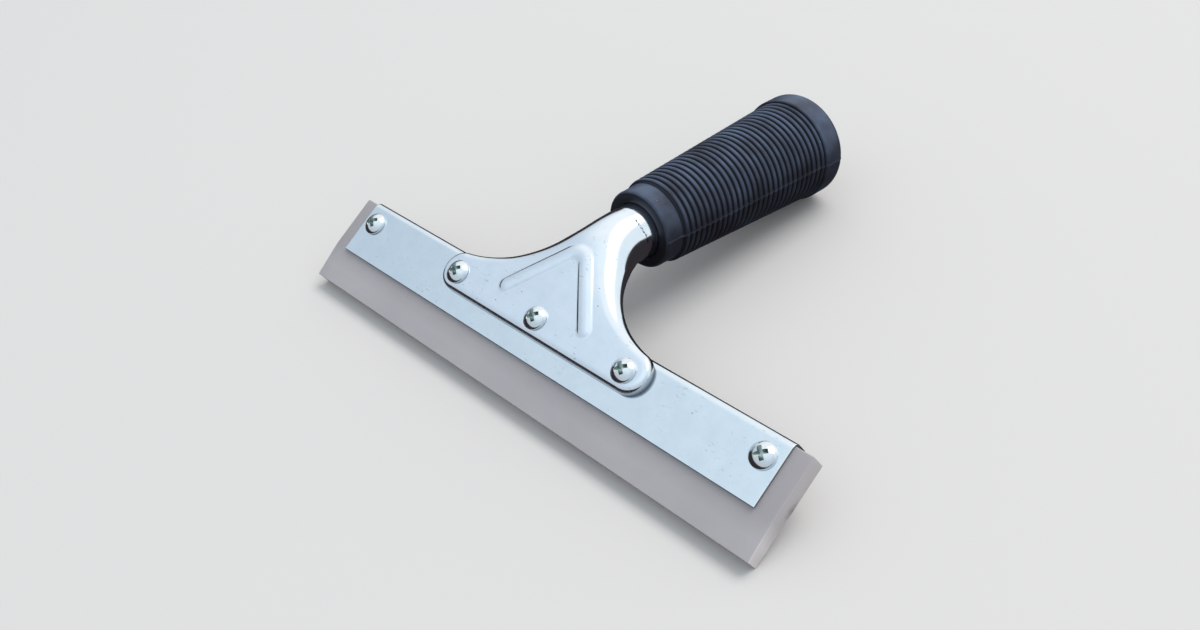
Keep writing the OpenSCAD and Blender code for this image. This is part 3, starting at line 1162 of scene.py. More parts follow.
@dataclass
class RaisedChevron:
    """The stiffening bead that is pressed up out of the bracket's face."""

    width: float = 5.4
    top: float = 25.0
    bend_r: float = 4.9
    slope: float = 52.0
    foot: float = 4.6
    drawn_height: float = 0.68
    crown: float = 2.4
    foot_share: float = 0.94

    def rise(self, x: np.ndarray, s: np.ndarray) -> np.ndarray:
        """Height of the bead above the face at each place.

        Args:
            x: Distance across the face.
            s: Height above the screw line.

        Returns:
            The heights.
        """
        slope = math.radians(self.slope)
        middle = self.top - self.bend_r
        start = np.array([self.bend_r * math.sin(slope), middle + self.bend_r * math.cos(slope)])
        run = (start[1] - self.foot) / math.sin(slope)
        leg = np.array([math.cos(slope), -math.sin(slope)])
        side = np.abs(x)
        along = np.clip((side - start[0]) * leg[0] + (s - start[1]) * leg[1], 0, run)
        from_leg = np.hypot(side - start[0] - along * leg[0], s - start[1] - along * leg[1])
        angle = np.arctan2(side, s - middle)
        from_bend = np.abs(np.hypot(side, s - middle) - self.bend_r)
        away = np.where((angle < slope) & (s > middle), np.minimum(from_bend, from_leg), from_leg)
        share = away / (self.width / 2)
        # A round crown that meets the face in a short, tight fillet.
        near, p = self.foot_share, self.crown
        end = near + 2 * (1 - near**p) / (p * near ** (p - 1))
        dome = 1 - np.minimum(share, near) ** p
        fillet = (1 - near**p) * (np.clip(end - share, 0, end - near) / (end - near)) ** 2
        return self.drawn_height * np.where(share < near, dome, fillet)


@dataclass
class HandleBracket:
    """The stamped sheet that holds the channel and rolls up into the neck."""

    layout: Layout
    chevron: RaisedChevron = field(default_factory=RaisedChevron)
    corner_r: float = 7.0
    corner_out: float = 1.0
    corner_rise: float = 0.9
    sweep_r: float = 38.0
    round_z: float = 38.0
    round_lead: float = 2.0
    roll_gap: float = 0.2
    seam_in: float = 2.0
    max_wrap: float = 176.0
    fold_press: float = 1.3
    fold_fade: float = 9.0
    edge_break: float = 0.15
    drill_past: float = 1.0
    drill_end: float = -0.5
    corner_steps: int = 24
    sweep_steps: int = 92
    neck_steps: int = 14
    edge_steps: int = 22
    face_steps: int = 260
    crease: float = 36.0

    def outline(self) -> np.ndarray:
        """Rows along the right half of the bracket, from its lower corner to the end of the tube.

        Returns:
            For each row its place across and along, and its inward direction.
        """
        lay = self.layout
        corner_x = lay.bracket_screw_x + self.corner_out
        sweep_x = lay.neck_r + self.sweep_r
        rise = math.sqrt((self.corner_r + self.sweep_r) ** 2 - (sweep_x - corner_x) ** 2)
        sweep_z = self.corner_rise + rise
        meet = math.atan2(rise, sweep_x - corner_x)
        rows = []
        for a in np.linspace(-math.pi / 2, meet, self.corner_steps + 1):
            place = (corner_x + self.corner_r * math.cos(a), self.corner_rise + self.corner_r * math.sin(a))
            rows.append((*place, -math.cos(a), -math.sin(a)))
        for a in np.linspace(math.pi + meet, math.pi, self.sweep_steps + 1)[1:]:
            place = (sweep_x + self.sweep_r * math.cos(a), sweep_z + self.sweep_r * math.sin(a))
            rows.append((*place, math.cos(a), math.sin(a)))
        end = lay.collar_s + self.seam_in
        for s in (*np.linspace(sweep_z, end, self.neck_steps + 1)[1:], lay.collar_s + lay.tube_in):
            rows.append((lay.neck_r, s, -1.0, 0.0))
        return np.array(rows)

    def edge_r(self, s: np.ndarray) -> np.ndarray:
        """Radius of the rounded edge.

        Args:
            s: Height above the screw line.

        Returns:
            The radius at each height.
        """
        start = self.layout.screw_drop - self.round_lead
        grow = smooth((s - start) / (self.round_z - start))
        return self.layout.face_h + (self.layout.neck_r - self.layout.face_h) * grow

    def front_angle(self, s: np.ndarray) -> np.ndarray:
        """Angle at which the rounded edge meets the face.

        Args:
            s: Height above the screw line.

        Returns:
            The angle at each height, in radians.
        """
        lay = self.layout
        share = (self.edge_r(s) - lay.face_h) / (lay.neck_r - lay.face_h)
        return math.radians(lay.facet_angle) * share

    def wrap_angle(self, s: np.ndarray) -> np.ndarray:
        """Angle that the rounded edge wraps.

        Args:
            s: Height above the screw line.

        Returns:
            The angle at each height, in radians.
        """
        lay = self.layout
        start, end = lay.screw_drop + self.roll_gap, lay.collar_s + self.seam_in
        deep = lay.face_h + (2 * lay.axis_d - lay.face_h) * smooth((s - start) / (end - start))
        wrap = np.arccos(np.clip(np.cos(self.front_angle(s)) - deep / self.edge_r(s), -1, 1))
        return np.minimum(wrap, math.radians(self.max_wrap))

    def edge(self, rows: np.ndarray, share: np.ndarray, inset: float) -> np.ndarray:
        """Places on the rounded edge, as [across, along, depth].

        Args:
            rows: Rows of the outline.
            share: For each point of a row, 0 at the flange's rim and 1 where the face starts.
            inset: 0 on the outer surface, the sheet's thickness on the inner one.

        Returns:
            The places, in rows of points.
        """
        x, s, in_x, in_s = (rows[:, i : i + 1] for i in range(4))
        r, first = self.edge_r(s), self.front_angle(s)
        a = first + (self.wrap_angle(s) - first) * (1 - share)
        # The press folds the lower flange tightly and leaves the neck round.
        low = self.layout.screw_drop - self.round_lead
        tight = 2 / (2 + self.fold_press * (1 - smooth((s - low) / self.fold_fade)))
        sine, cosine = np.sin(a), np.cos(a)
        sine = np.where(cosine > 0, np.maximum(sine, 0) ** tight, sine)
        cosine = np.where(cosine > 0, np.maximum(cosine, 0) ** tight, cosine)
        across = inset + (r - inset) * (1 - sine)
        depth = inset + (r - inset) * (np.cos(first) ** tight - cosine)
        return np.stack([x + in_x * across, s + in_s * across, depth], axis=-1)

    def half_section(self, rows: np.ndarray) -> np.ndarray:
        """The right half's sheet from the outer face round the rim to the inner face.

        Args:
            rows: Rows of the outline.

        Returns:
            Its places, in rows of points.
        """
        share = np.linspace(1, 0, self.edge_steps + 1)[None, :]
        outer, inner = (self.edge(rows, share, inset) for inset in (0.0, self.layout.bracket_sheet))
        c = self.edge_break
        rim = []
        for skin, other in ((outer, inner), (inner, outer)):
            back = skin[:, -2] - skin[:, -1]
            back /= np.linalg.norm(back, axis=-1, keepdims=True)
            through = other[:, -1] - skin[:, -1]
            through /= np.linalg.norm(through, axis=-1, keepdims=True)
            rim.append(skin[:, -1] + through * c)
            skin[:, -1] += back * c
        return np.concatenate([outer, np.stack(rim, axis=1), inner[:, ::-1]], axis=1)

    def face(self, edge: np.ndarray, rows: np.ndarray, inset: float) -> np.ndarray:
        """Fills the face between its two rounded edges, bead and crown included.

        Args:
            edge: Places where the face starts on the right, one for each row.
            rows: Rows of the outline.
            inset: 0 on the outer surface, the sheet's thickness on the inner one.

        Returns:
            Places on the face, in rows from left to right.
        """
        u = np.linspace(-1, 1, self.face_steps + 1)[None, :]
        half, s = edge[:, :1], edge[:, 1:2] * np.ones_like(u)
        # The crown's arc is found by division, so its angle stays a little over nothing.
        first = np.maximum(self.front_angle(rows[:, 1:2]), 1e-6)
        crown_r = half / np.sin(first)
        crown = crown_r * (np.cos(np.arcsin(u * np.sin(first))) - np.cos(first))
        x = half * u
        return np.stack([x, s, inset - crown - self.chevron.rise(x, s)], axis=-1)

    def build(self, bench: Bench) -> bpy.types.Object:
        """Builds the bracket with its three holes.

        Args:
            bench: What makes its mesh.

        Returns:
            The piece.
        """
        lay, rows, n = self.layout, self.outline(), self.edge_steps + 1
        right = self.half_section(rows)
        left = right * np.array([-1, 1, 1])
        outer = self.face(right[:, 0], rows, 0.0)
        inner = self.face(right[:, -1], rows, lay.bracket_sheet)
        # The lower flange runs straight from one corner to the other.
        u = np.linspace(-1, 1, self.face_steps + 1)
        across, along, depth = (right[0][:, i : i + 1] for i in range(3))
        flange = np.stack([across * u, along + 0 * u, depth + 0 * u], axis=-1)
        # The end of the tube is a strip from the outside to the inside of the sheet.
        outside = np.concatenate([left[-1][:n][::-1], outer[-1], right[-1][:n]])
        inside = np.concatenate([left[-1][-n:], inner[-1], right[-1][-n:][::-1]])
        skin = Skin()
        for patch in (right, left, outer, inner, flange, np.stack([outside, inside])):
            skin.grid(lay.bent(*np.moveaxis(patch, -1, 0)))
        for rim in (left[-1], right[-1]):
            skin.lid(lay.bent(*rim[n - 1 : n + 3].T))
        piece = bench.piece("stamped_bracket", skin, self.crease)
        drills = screw_holes(lay, lay.bracket_screws, -lay.face_h - self.drill_past, self.drill_end)
        bench.cut(piece, drills, self.crease)
        return piece

    def make(self, bench: Bench, material: bpy.types.Material) -> None:
        """Builds and dresses the bracket.

        Args:
            bench: What makes its mesh.
            material: Its finish.
        """
        dress(self.build(bench), "handle_bracket", "tool", material)


# ---------------------------------------------------------------------------------------------------
# Grip
# ---------------------------------------------------------------------------------------------------


@dataclass
class Grip:
    """The moulded rubber grip: a plain band, round ribs and a plain cap, with a parting line each side.

    Each form shapes one part of the profile. Those of the mouth, the band and the cap hold lengths from where
    the part starts, and how far the radius is over or under the part's own. The groove's holds shares of its
    width and heights over its floor, the crest's holds places from one side of a rib to the other, the flat's
    holds radii on the end of the cap, and the seam's holds places across the parting line.
    """

    layout: Layout
    band_r: float = 13.5
    band_len: float = 7.3
    rib_front_r: float = 14.6
    rib_back_r: float = 18.2
    groove_count: int = 28
    groove_w: float = 0.9
    groove_d: float = 0.9
    cap_len: float = 10.6
    crest_sag: float = 0.42
    crest_power: float = 2.6
    lip_r: float = 1.1
    grip_fit: float = 0.1
    bore_room: float = 0.5
    seam_h: float = 0.14
    seam_w: float = 0.4
    flash_under_rib: float = 0.35
    flash_fill: float = 0.7
    bare_depth: float = 0.12
    bare_fade: float = 0.36
    margin: float = 0.1
    mouth_len: float = 0.4
    mouth_in: float = 0.6
    mouth_form: tuple[Point2, ...] = ((0.55, 0.0), (0.18, 0.12), (0.0, 0.5))
    band_form: tuple[Point2, ...] = ((2.6, 0.0), (5.2, 0.05), (6.8, 0.1), (7.18, 0.05))
    groove_form: tuple[Point2, ...] = ((0.06, 0.25), (0.25, 0.03), (0.5, 0.0), (0.75, 0.03), (0.94, 0.25))
    crest_form: tuple[float, ...] = (-1.0, -0.82, -0.5, 0.0, 0.5, 0.82, 1.0)
    cap_form: tuple[Point2, ...] = ((0.02, 0.55), (0.1, 0.25), (0.35, 0.05), (0.8, 0.0), (3.4, 0.0))
    flat_form: tuple[float, ...] = (12.9, 6.0, 0.0)
    seam_form: tuple[float, ...] = (-1.6, -0.8, -0.4, 0.4, 0.8, 1.6)
    lip_steps: int = 6
    edge_steps: int = 12
    turn_steps: int = 132
    crease: float = 50.0

    @property
    def cap_s(self) -> float:
        """Length along the grip where the cap starts."""
        return self.layout.grip_len - self.cap_len

    def rib_r(self, s: Numbers) -> Numbers:
        """Radius over the ribs at a length along the grip."""
        share = (s - self.band_len) / (self.cap_s - self.band_len)
        return self.rib_front_r + (self.rib_back_r - self.rib_front_r) * share

    def rib(self, index: int) -> list[Point2]:
        """Profile of one groove and the round rib behind it.

        Args:
            index: Number of the groove, from the front.

        Returns:
            Its points in length and radius.
        """
        pitch = (self.cap_s - self.band_len) / self.groove_count
        start = self.band_len + index * pitch
        floor, half = self.rib_r(start) - self.groove_d, (pitch - self.groove_w) / 2
        middle = start + self.groove_w + half
        points = [(start + share * self.groove_w, floor + over) for share, over in self.groove_form]
        for v in self.crest_form:
            sag = self.crest_sag * abs(v) ** self.crest_power
            points.append((middle + v * half, self.rib_r(middle) - sag))
        return points

    def profile(self) -> tuple[np.ndarray, int]:
        """Profile of the grip in length and radius.

        Returns:
            Its points, and the number of the first one outside the bore.
        """
        lay = self.layout
        bore, deep = lay.neck_r + self.grip_fit, lay.tube_in + self.bore_room
        inside = [(deep, 0.0), (deep, bore), (deep / 2, bore)]
        inside += [(s, bore + over) for s, over in self.mouth_form]
        lip = arc((self.lip_r, self.band_r - self.lip_r), self.lip_r, 180, 90, self.lip_steps)
        band = [(s, self.band_r + over) for s, over in self.band_form]
        ribs = [p for i in range(self.groove_count) for p in self.rib(i)]
        cap = [(self.cap_s + s, lay.cap_r - under) for s, under in self.cap_form]
        e = lay.cap_edge_r
        end = arc((lay.grip_len - e, lay.cap_r - e), e, 90, 0, self.edge_steps)
        flat = [(lay.grip_len, r) for r in self.flat_form]
        return np.array(inside + lip + band + ribs + cap + end + flat), len(inside)

    def build(self, bench: Bench) -> bpy.types.Object:
        """Builds the grip.

        Args:
            bench: What makes its mesh.

        Returns:
            The piece.
        """
        lay = self.layout
        profile, outside = self.profile()
        s, r = profile[:, :1], profile[:, 1:]
        width = self.seam_w / lay.cap_r
        close = np.array(self.seam_form) * width
        extra = np.concatenate([circle(self.turn_steps), close, close + math.pi])
        angles = np.unique(np.round(np.mod(extra, 2 * math.pi), 7))
        # Flash along the parting line stands a little proud and bridges the grooves.
        away = np.minimum(np.abs(np.sin(angles / 2)), np.abs(np.cos(angles / 2)))
        flash = np.exp(-((2 * away / width) ** 2))
        beyond_bore = np.arange(len(profile))[:, None] >= outside
        ribbed = beyond_bore & (s > self.band_len - 2 * self.margin) & (s < self.cap_s)
        low = np.where(ribbed, np.maximum(self.rib_r(s) - self.flash_under_rib - r, 0), 0)
        round_side = beyond_bore & (r > self.band_r - 3 * self.margin)
        radius = r + flash * (self.flash_fill * low + round_side * self.seam_h)
        skin = Skin()
        skin.grid(lay.on_grip(radius * np.cos(angles), s, radius * np.sin(angles)), closed=True)
        piece = bench.piece("ribbed_grip", skin, self.crease)
        self.mark_crests(piece)
        return piece

    def mark_crests(self, piece: bpy.types.Object) -> None:
        """Stores on each point how near it is to the outside of the ribs, from 0 in a groove to 1.

        Args:
            piece: The grip.
        """
        lay = self.layout
        front, back = lay.to_world(lay.on_grip(0.0, np.array([0.0, lay.grip_len]), 0.0))
        way = (back - front) / np.linalg.norm(back - front)
        points = np.empty(len(piece.data.vertices) * 3)
        piece.data.vertices.foreach_get("co", points)
        offset = points.reshape(-1, 3) - front
        along = offset @ way
        radius = np.linalg.norm(offset - along[:, None] * way, axis=1) / METRES
        s = along / METRES
        ribbed = (s > self.band_len - self.margin) & (s < self.cap_s + self.margin / 2)
        depth = np.where(ribbed, self.rib_r(s) - radius, 0)
        # The mouth gets level 0, so it takes no bloom and no painted light.
        in_mouth = (s < self.mouth_len) & (radius < self.band_r - self.mouth_in)
        level = np.where(in_mouth, 0.0, 1 - smooth((depth - self.bare_depth) / self.bare_fade))
        layer = piece.data.attributes.new(CREST, "FLOAT", "POINT")
        layer.data.foreach_set("value", level.astype(np.float32))

    def make(self, bench: Bench) -> None:
        """Builds and dresses the grip."""
        dress(self.build(bench), "grip", "tool", MouldedBlackRubber().material())


# ---------------------------------------------------------------------------------------------------
# Fasteners
# ---------------------------------------------------------------------------------------------------


class Station(Enum):
    """The five places where the blade is screwed down, by number along the blade."""

    LEFT_END = 0
    LEFT = 1
    CENTRE = 2
    RIGHT = 3
    RIGHT_END = 4

    @property
    def label(self) -> str:
        """The place's name in the record."""
        return self.name.lower()


@dataclass
class Fastener:
    """A piece on the line of one screw, with what its nodes are called and whether it moves by itself."""

    layout: Layout
    station: Station
    kind: ClassVar[str]
    slot: ClassVar[str]
    moves: ClassVar[bool] = True

    @property
    def x(self) -> float:
        """Place of the screw along the blade."""
        return self.layout.screw_x[self.station.value]

    @property
    def seat(self) -> float:
        """Depth that the screw's head seats on."""
        return self.layout.seat_y[self.station.value]

    def build(self, bench: Bench) -> bpy.types.Object:
        """Builds the piece, in each kind its own way."""
        raise NotImplementedError

    def make(self, bench: Bench, material: bpy.types.Material) -> bpy.types.Object:
        """Builds and dresses the piece.

        Args:
            bench: What makes its mesh.
            material: Its finish.

        Returns:
            The piece.
        """
        piece = self.build(bench)
        node = f"{self.kind}_{self.station.label}"
        dress(piece, node, node if self.moves else "tool", material)
        return piece


@dataclass
class PanHeadScrew(Fastener):
    """A pan-head machine screw with a cross recess and a rolled thread.

    Three forms round off its edges, each a list of lengths and radii. That of the head's rim gives how far
    the radius is under the head's, and that of the tip counts its lengths back from the end.
    """

    kind: ClassVar[str] = "screw"
    slot: ClassVar[str] = "screw_steel"
    head_d: float = 8.3
    head_h: float = 2.7
    head_rim: float = 0.8
    recess_w: float = 4.6
    recess_slot: float = 1.15
    recess_d: float = 1.7
    recess_reach: float = 2.6
    recess_skin: float = 0.06
    recess_low: float = 0.5
    tail: float = 1.4
    pitch: float = 0.7
    thread_len: float = 7.0
    thread_d: float = 0.36
    thread_slope: float = 1.25
    run_out: float = 0.2
    rim_form: tuple[Point2, ...] = ((-0.78, 0.04), (-0.6, 0.0), (-0.22, 0.0), (-0.06, 0.06), (0.0, 0.3))
    neck_form: tuple[Point2, ...] = ((0.0, 2.25), (0.06, 2.06), (0.25, 2.0))
    tip_form: tuple[Point2, ...] = ((0.36, 1.62), (0.05, 1.4), (0.0, 1.3), (0.0, 0.0))
    tip_len: float = 0.45
    dome_in: float = 0.22
    dome_steps: int = 14
    thread_steps: int = 9
    turn_steps: int = 72
    crease: float = 34.0

    @property
    def length(self) -> float:
        """Length of the screw under its head."""
        return self.layout.nut_y + self.layout.nut_h + self.tail - self.seat

    def dome_drop(self, r: Numbers) -> Numbers:
        """How far the top of the head falls from its middle to a radius.

        Args:
            r: The radius.

        Returns:
            The fall.
        """
        tall, half = self.head_h - self.head_rim, self.head_d / 2
        dome_r = (half**2 + tall**2) / (2 * tall)
        return dome_r - np.sqrt(dome_r**2 - r * r)

    def profile(self, angles: np.ndarray) -> np.ndarray:
        """Profile of the screw, with the thread's height at each angle.

        Args:
            angles: Angles about the screw.

        Returns:
            Rows of a length from the seat and the radius at each angle.
        """
        half, shank_r = self.head_d / 2, self.layout.screw_d / 2
        start = self.length - self.thread_len
        dome = np.linspace(0, half - self.dome_in, self.dome_steps)
        head = [(self.dome_drop(r) - self.head_h, r) for r in dome]
        head += [(s, half - under) for s, under in self.rim_form]
        head += [*self.neck_form, (start - self.run_out, shank_r)]
        s = np.arange(start, self.length - self.tip_len, self.pitch / self.thread_steps)[:, None]
        phase = np.mod(s / self.pitch - angles[None, :] / (2 * math.pi), 1.0)
        cut = 1 - np.clip(np.abs(phase - 0.5) * 2 * self.thread_slope, 0, 1)
        fade = np.clip((s - start) / self.pitch, 0, 1)
        thread = np.concatenate([s, shank_r - self.thread_d * cut * fade], axis=1)
        tip = [(self.length - before, r) for before, r in self.tip_form]
        plain, end = (np.array([[s] + [r] * len(angles) for s, r in rows]) for rows in (head, tip))
        return np.concatenate([plain, thread, end])

    def recess(self, start: float) -> Skin:
        """The cross that is punched into the head, wide at the top and narrow at the bottom.

        Args:
            start: Depth of the underside of the head.

        Returns:
            What the punch takes away.
        """
        top, wide, slot_r = -self.head_h, self.recess_w / 2, self.recess_slot / 2
        levels = []
        # Over the head, under its skin, near the floor and on the floor: length, half width and slot.
        for depth, reach, slot in (
            (top - 0.4, wide + 0.5, slot_r + 0.2),
            (top + 0.25, wide + 0.15, slot_r + 0.12),
            (top + self.recess_d * 0.75, wide - 0.85, slot_r - 0.06),
            (top + self.recess_d, slot_r + 0.12, slot_r - 0.12),
        ):
            ring = []
            for quarter in range(4):
                a = math.radians(45 + 90 * quarter)
                for u, v in ((reach, -slot), (reach, slot), (slot, slot)):
                    across, up = u * math.cos(a) - v * math.sin(a), u * math.sin(a) + v * math.cos(a)
                    ring.append((self.x + across, start + depth, up))
            levels.append(ring)
        skin = Skin()
        skin.bar(np.array(levels))
        return skin

    def build(self, bench: Bench) -> bpy.types.Object:
        """Builds the screw.

        Args:
            bench: What makes its mesh.

        Returns:
            The piece.
        """
        angles, start = circle(self.turn_steps), self.seat - self.layout.turn_fit
        rows = around_screw(self.layout, self.station.value, start, self.profile(angles), angles)
        skin = Skin()
        skin.grid(rows, closed=True)
        piece = bench.piece(f"pan_head_screw_{self.station.label}", skin, self.crease)
        bench.cut(piece, self.recess(start), self.crease)
        return piece

    def line_recess(self, piece: bpy.types.Object, thin: bpy.types.Material) -> None:
        """Gives the faces inside the recess their thinner plating, darker as painted shade.

        Args:
            piece: The finished screw.
            thin: The finish inside its recess, thinner plating with painted shade.
        """
        piece.data.materials.append(thin)
        base, way = self.layout.spot(self.x, self.seat, 0.0), self.layout.way(0.0, -1.0, 0.0)
        for face in piece.data.polygons:
            rise = (face.center - base).dot(way)
            radius = (face.center - base - way * rise).length / METRES
            surface = self.head_h - self.dome_drop(min(radius, self.head_d / 2))
            inside = self.recess_low < rise / METRES < surface - self.recess_skin
            if radius < self.recess_reach and inside:
                face.material_index = 1


@dataclass
class HexNut(Fastener):
    """A hexagon nut, chamfered on both faces, with a plain round bore chamfered at each end."""

    kind: ClassVar[str] = "nut"
    slot: ClassVar[str] = "nut_steel"
    across_flats: float = 7.0
    washer_face: float = 6.6
    chamfer_angle: float = 30.0
    bore_chamfer_h: float = 0.3
    bore_chamfer_w: float = 0.35
    turn_steps: int = 96
    crease: float = 28.0

    def build(self, bench: Bench) -> bpy.types.Object:
        """Builds the nut.

        Args:
            bench: What makes its mesh.

        Returns:
            The piece.
        """
        lay, angles = self.layout, circle(self.turn_steps)
        flat, face = self.across_flats / 2, self.washer_face / 2
        hexagon = flat / np.cos(np.mod(angles, math.pi / 3) - math.pi / 6)
        drop = (hexagon - face) * math.tan(math.radians(self.chamfer_angle))
        bore = lay.screw_d / 2 + lay.turn_fit
        mouth = bore + self.bore_chamfer_w
        half = [(self.bore_chamfer_h, bore), (0.0, mouth), (0.0, face), (drop, hexagon)]
        rings = half + [(lay.nut_h - s, r) for s, r in half[::-1]]
        patch = np.array(
            [in_rows(self.x + r * np.cos(angles), lay.nut_y + s, r * np.sin(angles)) for s, r in rings]
        )
        skin = Skin()
        skin.grid(patch, closed=True, ring=True)
        return bench.piece(f"hex_nut_{self.station.label}", skin, self.crease)


@dataclass
class SpringWasher(Fastener):
    """A split spring washer, pressed flat, whose slit runs aslant."""

    kind: ClassVar[str] = "washer"
    slot: ClassVar[str] = "spring_steel"
    moves: ClassVar[bool] = False
    outer_d: float = 7.0
    slit: float = 0.8
    slant: float = 0.35
    chamfer: float = 0.1
    turn_steps: int = 60
    crease: float = 30.0

    def build(self, bench: Bench) -> bpy.types.Object:
        """Builds the washer.

        Args:
            bench: What makes its mesh.

        Returns:
            The piece.
        """
        lay, t = self.layout, self.layout.washer_t
        inner, outer, c = lay.hole_r, self.outer_d / 2, self.chamfer
        section = [(0, inner + c), (0, outer - c), (c, outer), (t - c, outer), (t, outer - c), (t, inner + c)]
        s, r = np.array([*section, (t - c, inner), (c, inner)]).T
        middle = (inner + outer) / 2
        gap, lean = self.slit / 2 / middle, self.slant * (s / t - 0.5) / middle
        share = np.arange(self.turn_steps + 1)[:, None] / self.turn_steps
        a = gap + lean + (2 * math.pi - 2 * gap) * share
        skin = Skin()
        skin.bar(in_rows(self.x + r * np.cos(a), lay.channel_t + s, -r * np.sin(a)))
        return bench.piece(f"spring_washer_{self.station.label}", skin, self.crease)


@dataclass
class SpacerSleeve(Fastener):
    """A sleeve between the bracket's face and the channel."""

    kind: ClassVar[str] = "spacer"
    slot: ClassVar[str] = "nut_steel"
    moves: ClassVar[bool] = False
    outer_d: float = 5.1
    chamfer: float = 0.12
    turn_steps: int = 56
    crease: float = 30.0

    def build(self, bench: Bench) -> bpy.types.Object:
        """Builds the sleeve.

        Args:
            bench: What makes its mesh.

        Returns:
            The piece.
        """
        lay, c = self.layout, self.chamfer
        start, high = lay.bracket_sheet - lay.face_h, lay.face_h - lay.bracket_sheet
        inner, outer = lay.hole_r, self.outer_d / 2
        half = [(c, inner), (0.0, inner + c), (0.0, outer - c), (c, outer)]
        section = np.array(half + [(high - s, r) for s, r in half[::-1]])
        rows = around_screw(lay, self.station.value, start, section, circle(self.turn_steps))
        skin = Skin()
        skin.grid(rows, closed=True, ring=True)
        return bench.piece(f"spacer_sleeve_{self.station.label}", skin, self.crease)


@dataclass
class Fastening:
    """All the screws with what they clamp through."""

    layout: Layout

    def make(self, bench: Bench) -> None:
        """Builds and dresses every fastener.

        Args:
            bench: What makes the meshes.
        """
        chrome, zinc, spring, recess = (PlatedSteel(plating).material() for plating in Plating)
        for station in Station:
            screw = PanHeadScrew(self.layout, station)
            screw.line_recess(screw.make(bench, chrome), recess)
            HexNut(self.layout, station).make(bench, zinc)
            SpringWasher(self.layout, station).make(bench, spring)
            if self.layout.seat_y[station.value] < 0:
                SpacerSleeve(self.layout, station).make(bench, zinc)


# ---------------------------------------------------------------------------------------------------
# Studio
# ---------------------------------------------------------------------------------------------------


@dataclass(frozen=True)
class SoftBox:
    """A large flat lamp that hangs over the table and faces a point on it."""

    name: str
    place: Point3
    size: Point2
    power: float
    tint: str
    aim: Point3 = (0.0, 0.0, 0.02)

    def hang(self) -> None:
        """Makes the lamp, which only lights: what the steel mirrors is the room."""
        lamp = bpy.data.lights.new(self.name, "AREA")
        lamp.shape = "RECTANGLE"
        lamp.size, lamp.size_y = self.size
        lamp.energy = self.power
        lamp.color = linear(self.tint)[:3]
        holder = bpy.data.objects.new(self.name, lamp)
        holder.location = self.place
        holder.rotation_euler = (Vector(self.aim) - Vector(self.place)).to_track_quat("-Z", "Y").to_euler()
        holder.visible_glossy = False
        bpy.context.scene.collection.objects.link(holder)


@dataclass(frozen=True)
class Glow:
    """A part of the room's light: a direction, and how nearly a way has to point along it.

    The light starts where the product of the two is `start`, and is whole where it is `full`.
    """

    toward: Point3
    start: float
    full: float
    colour: str
    gain: float = 1.0


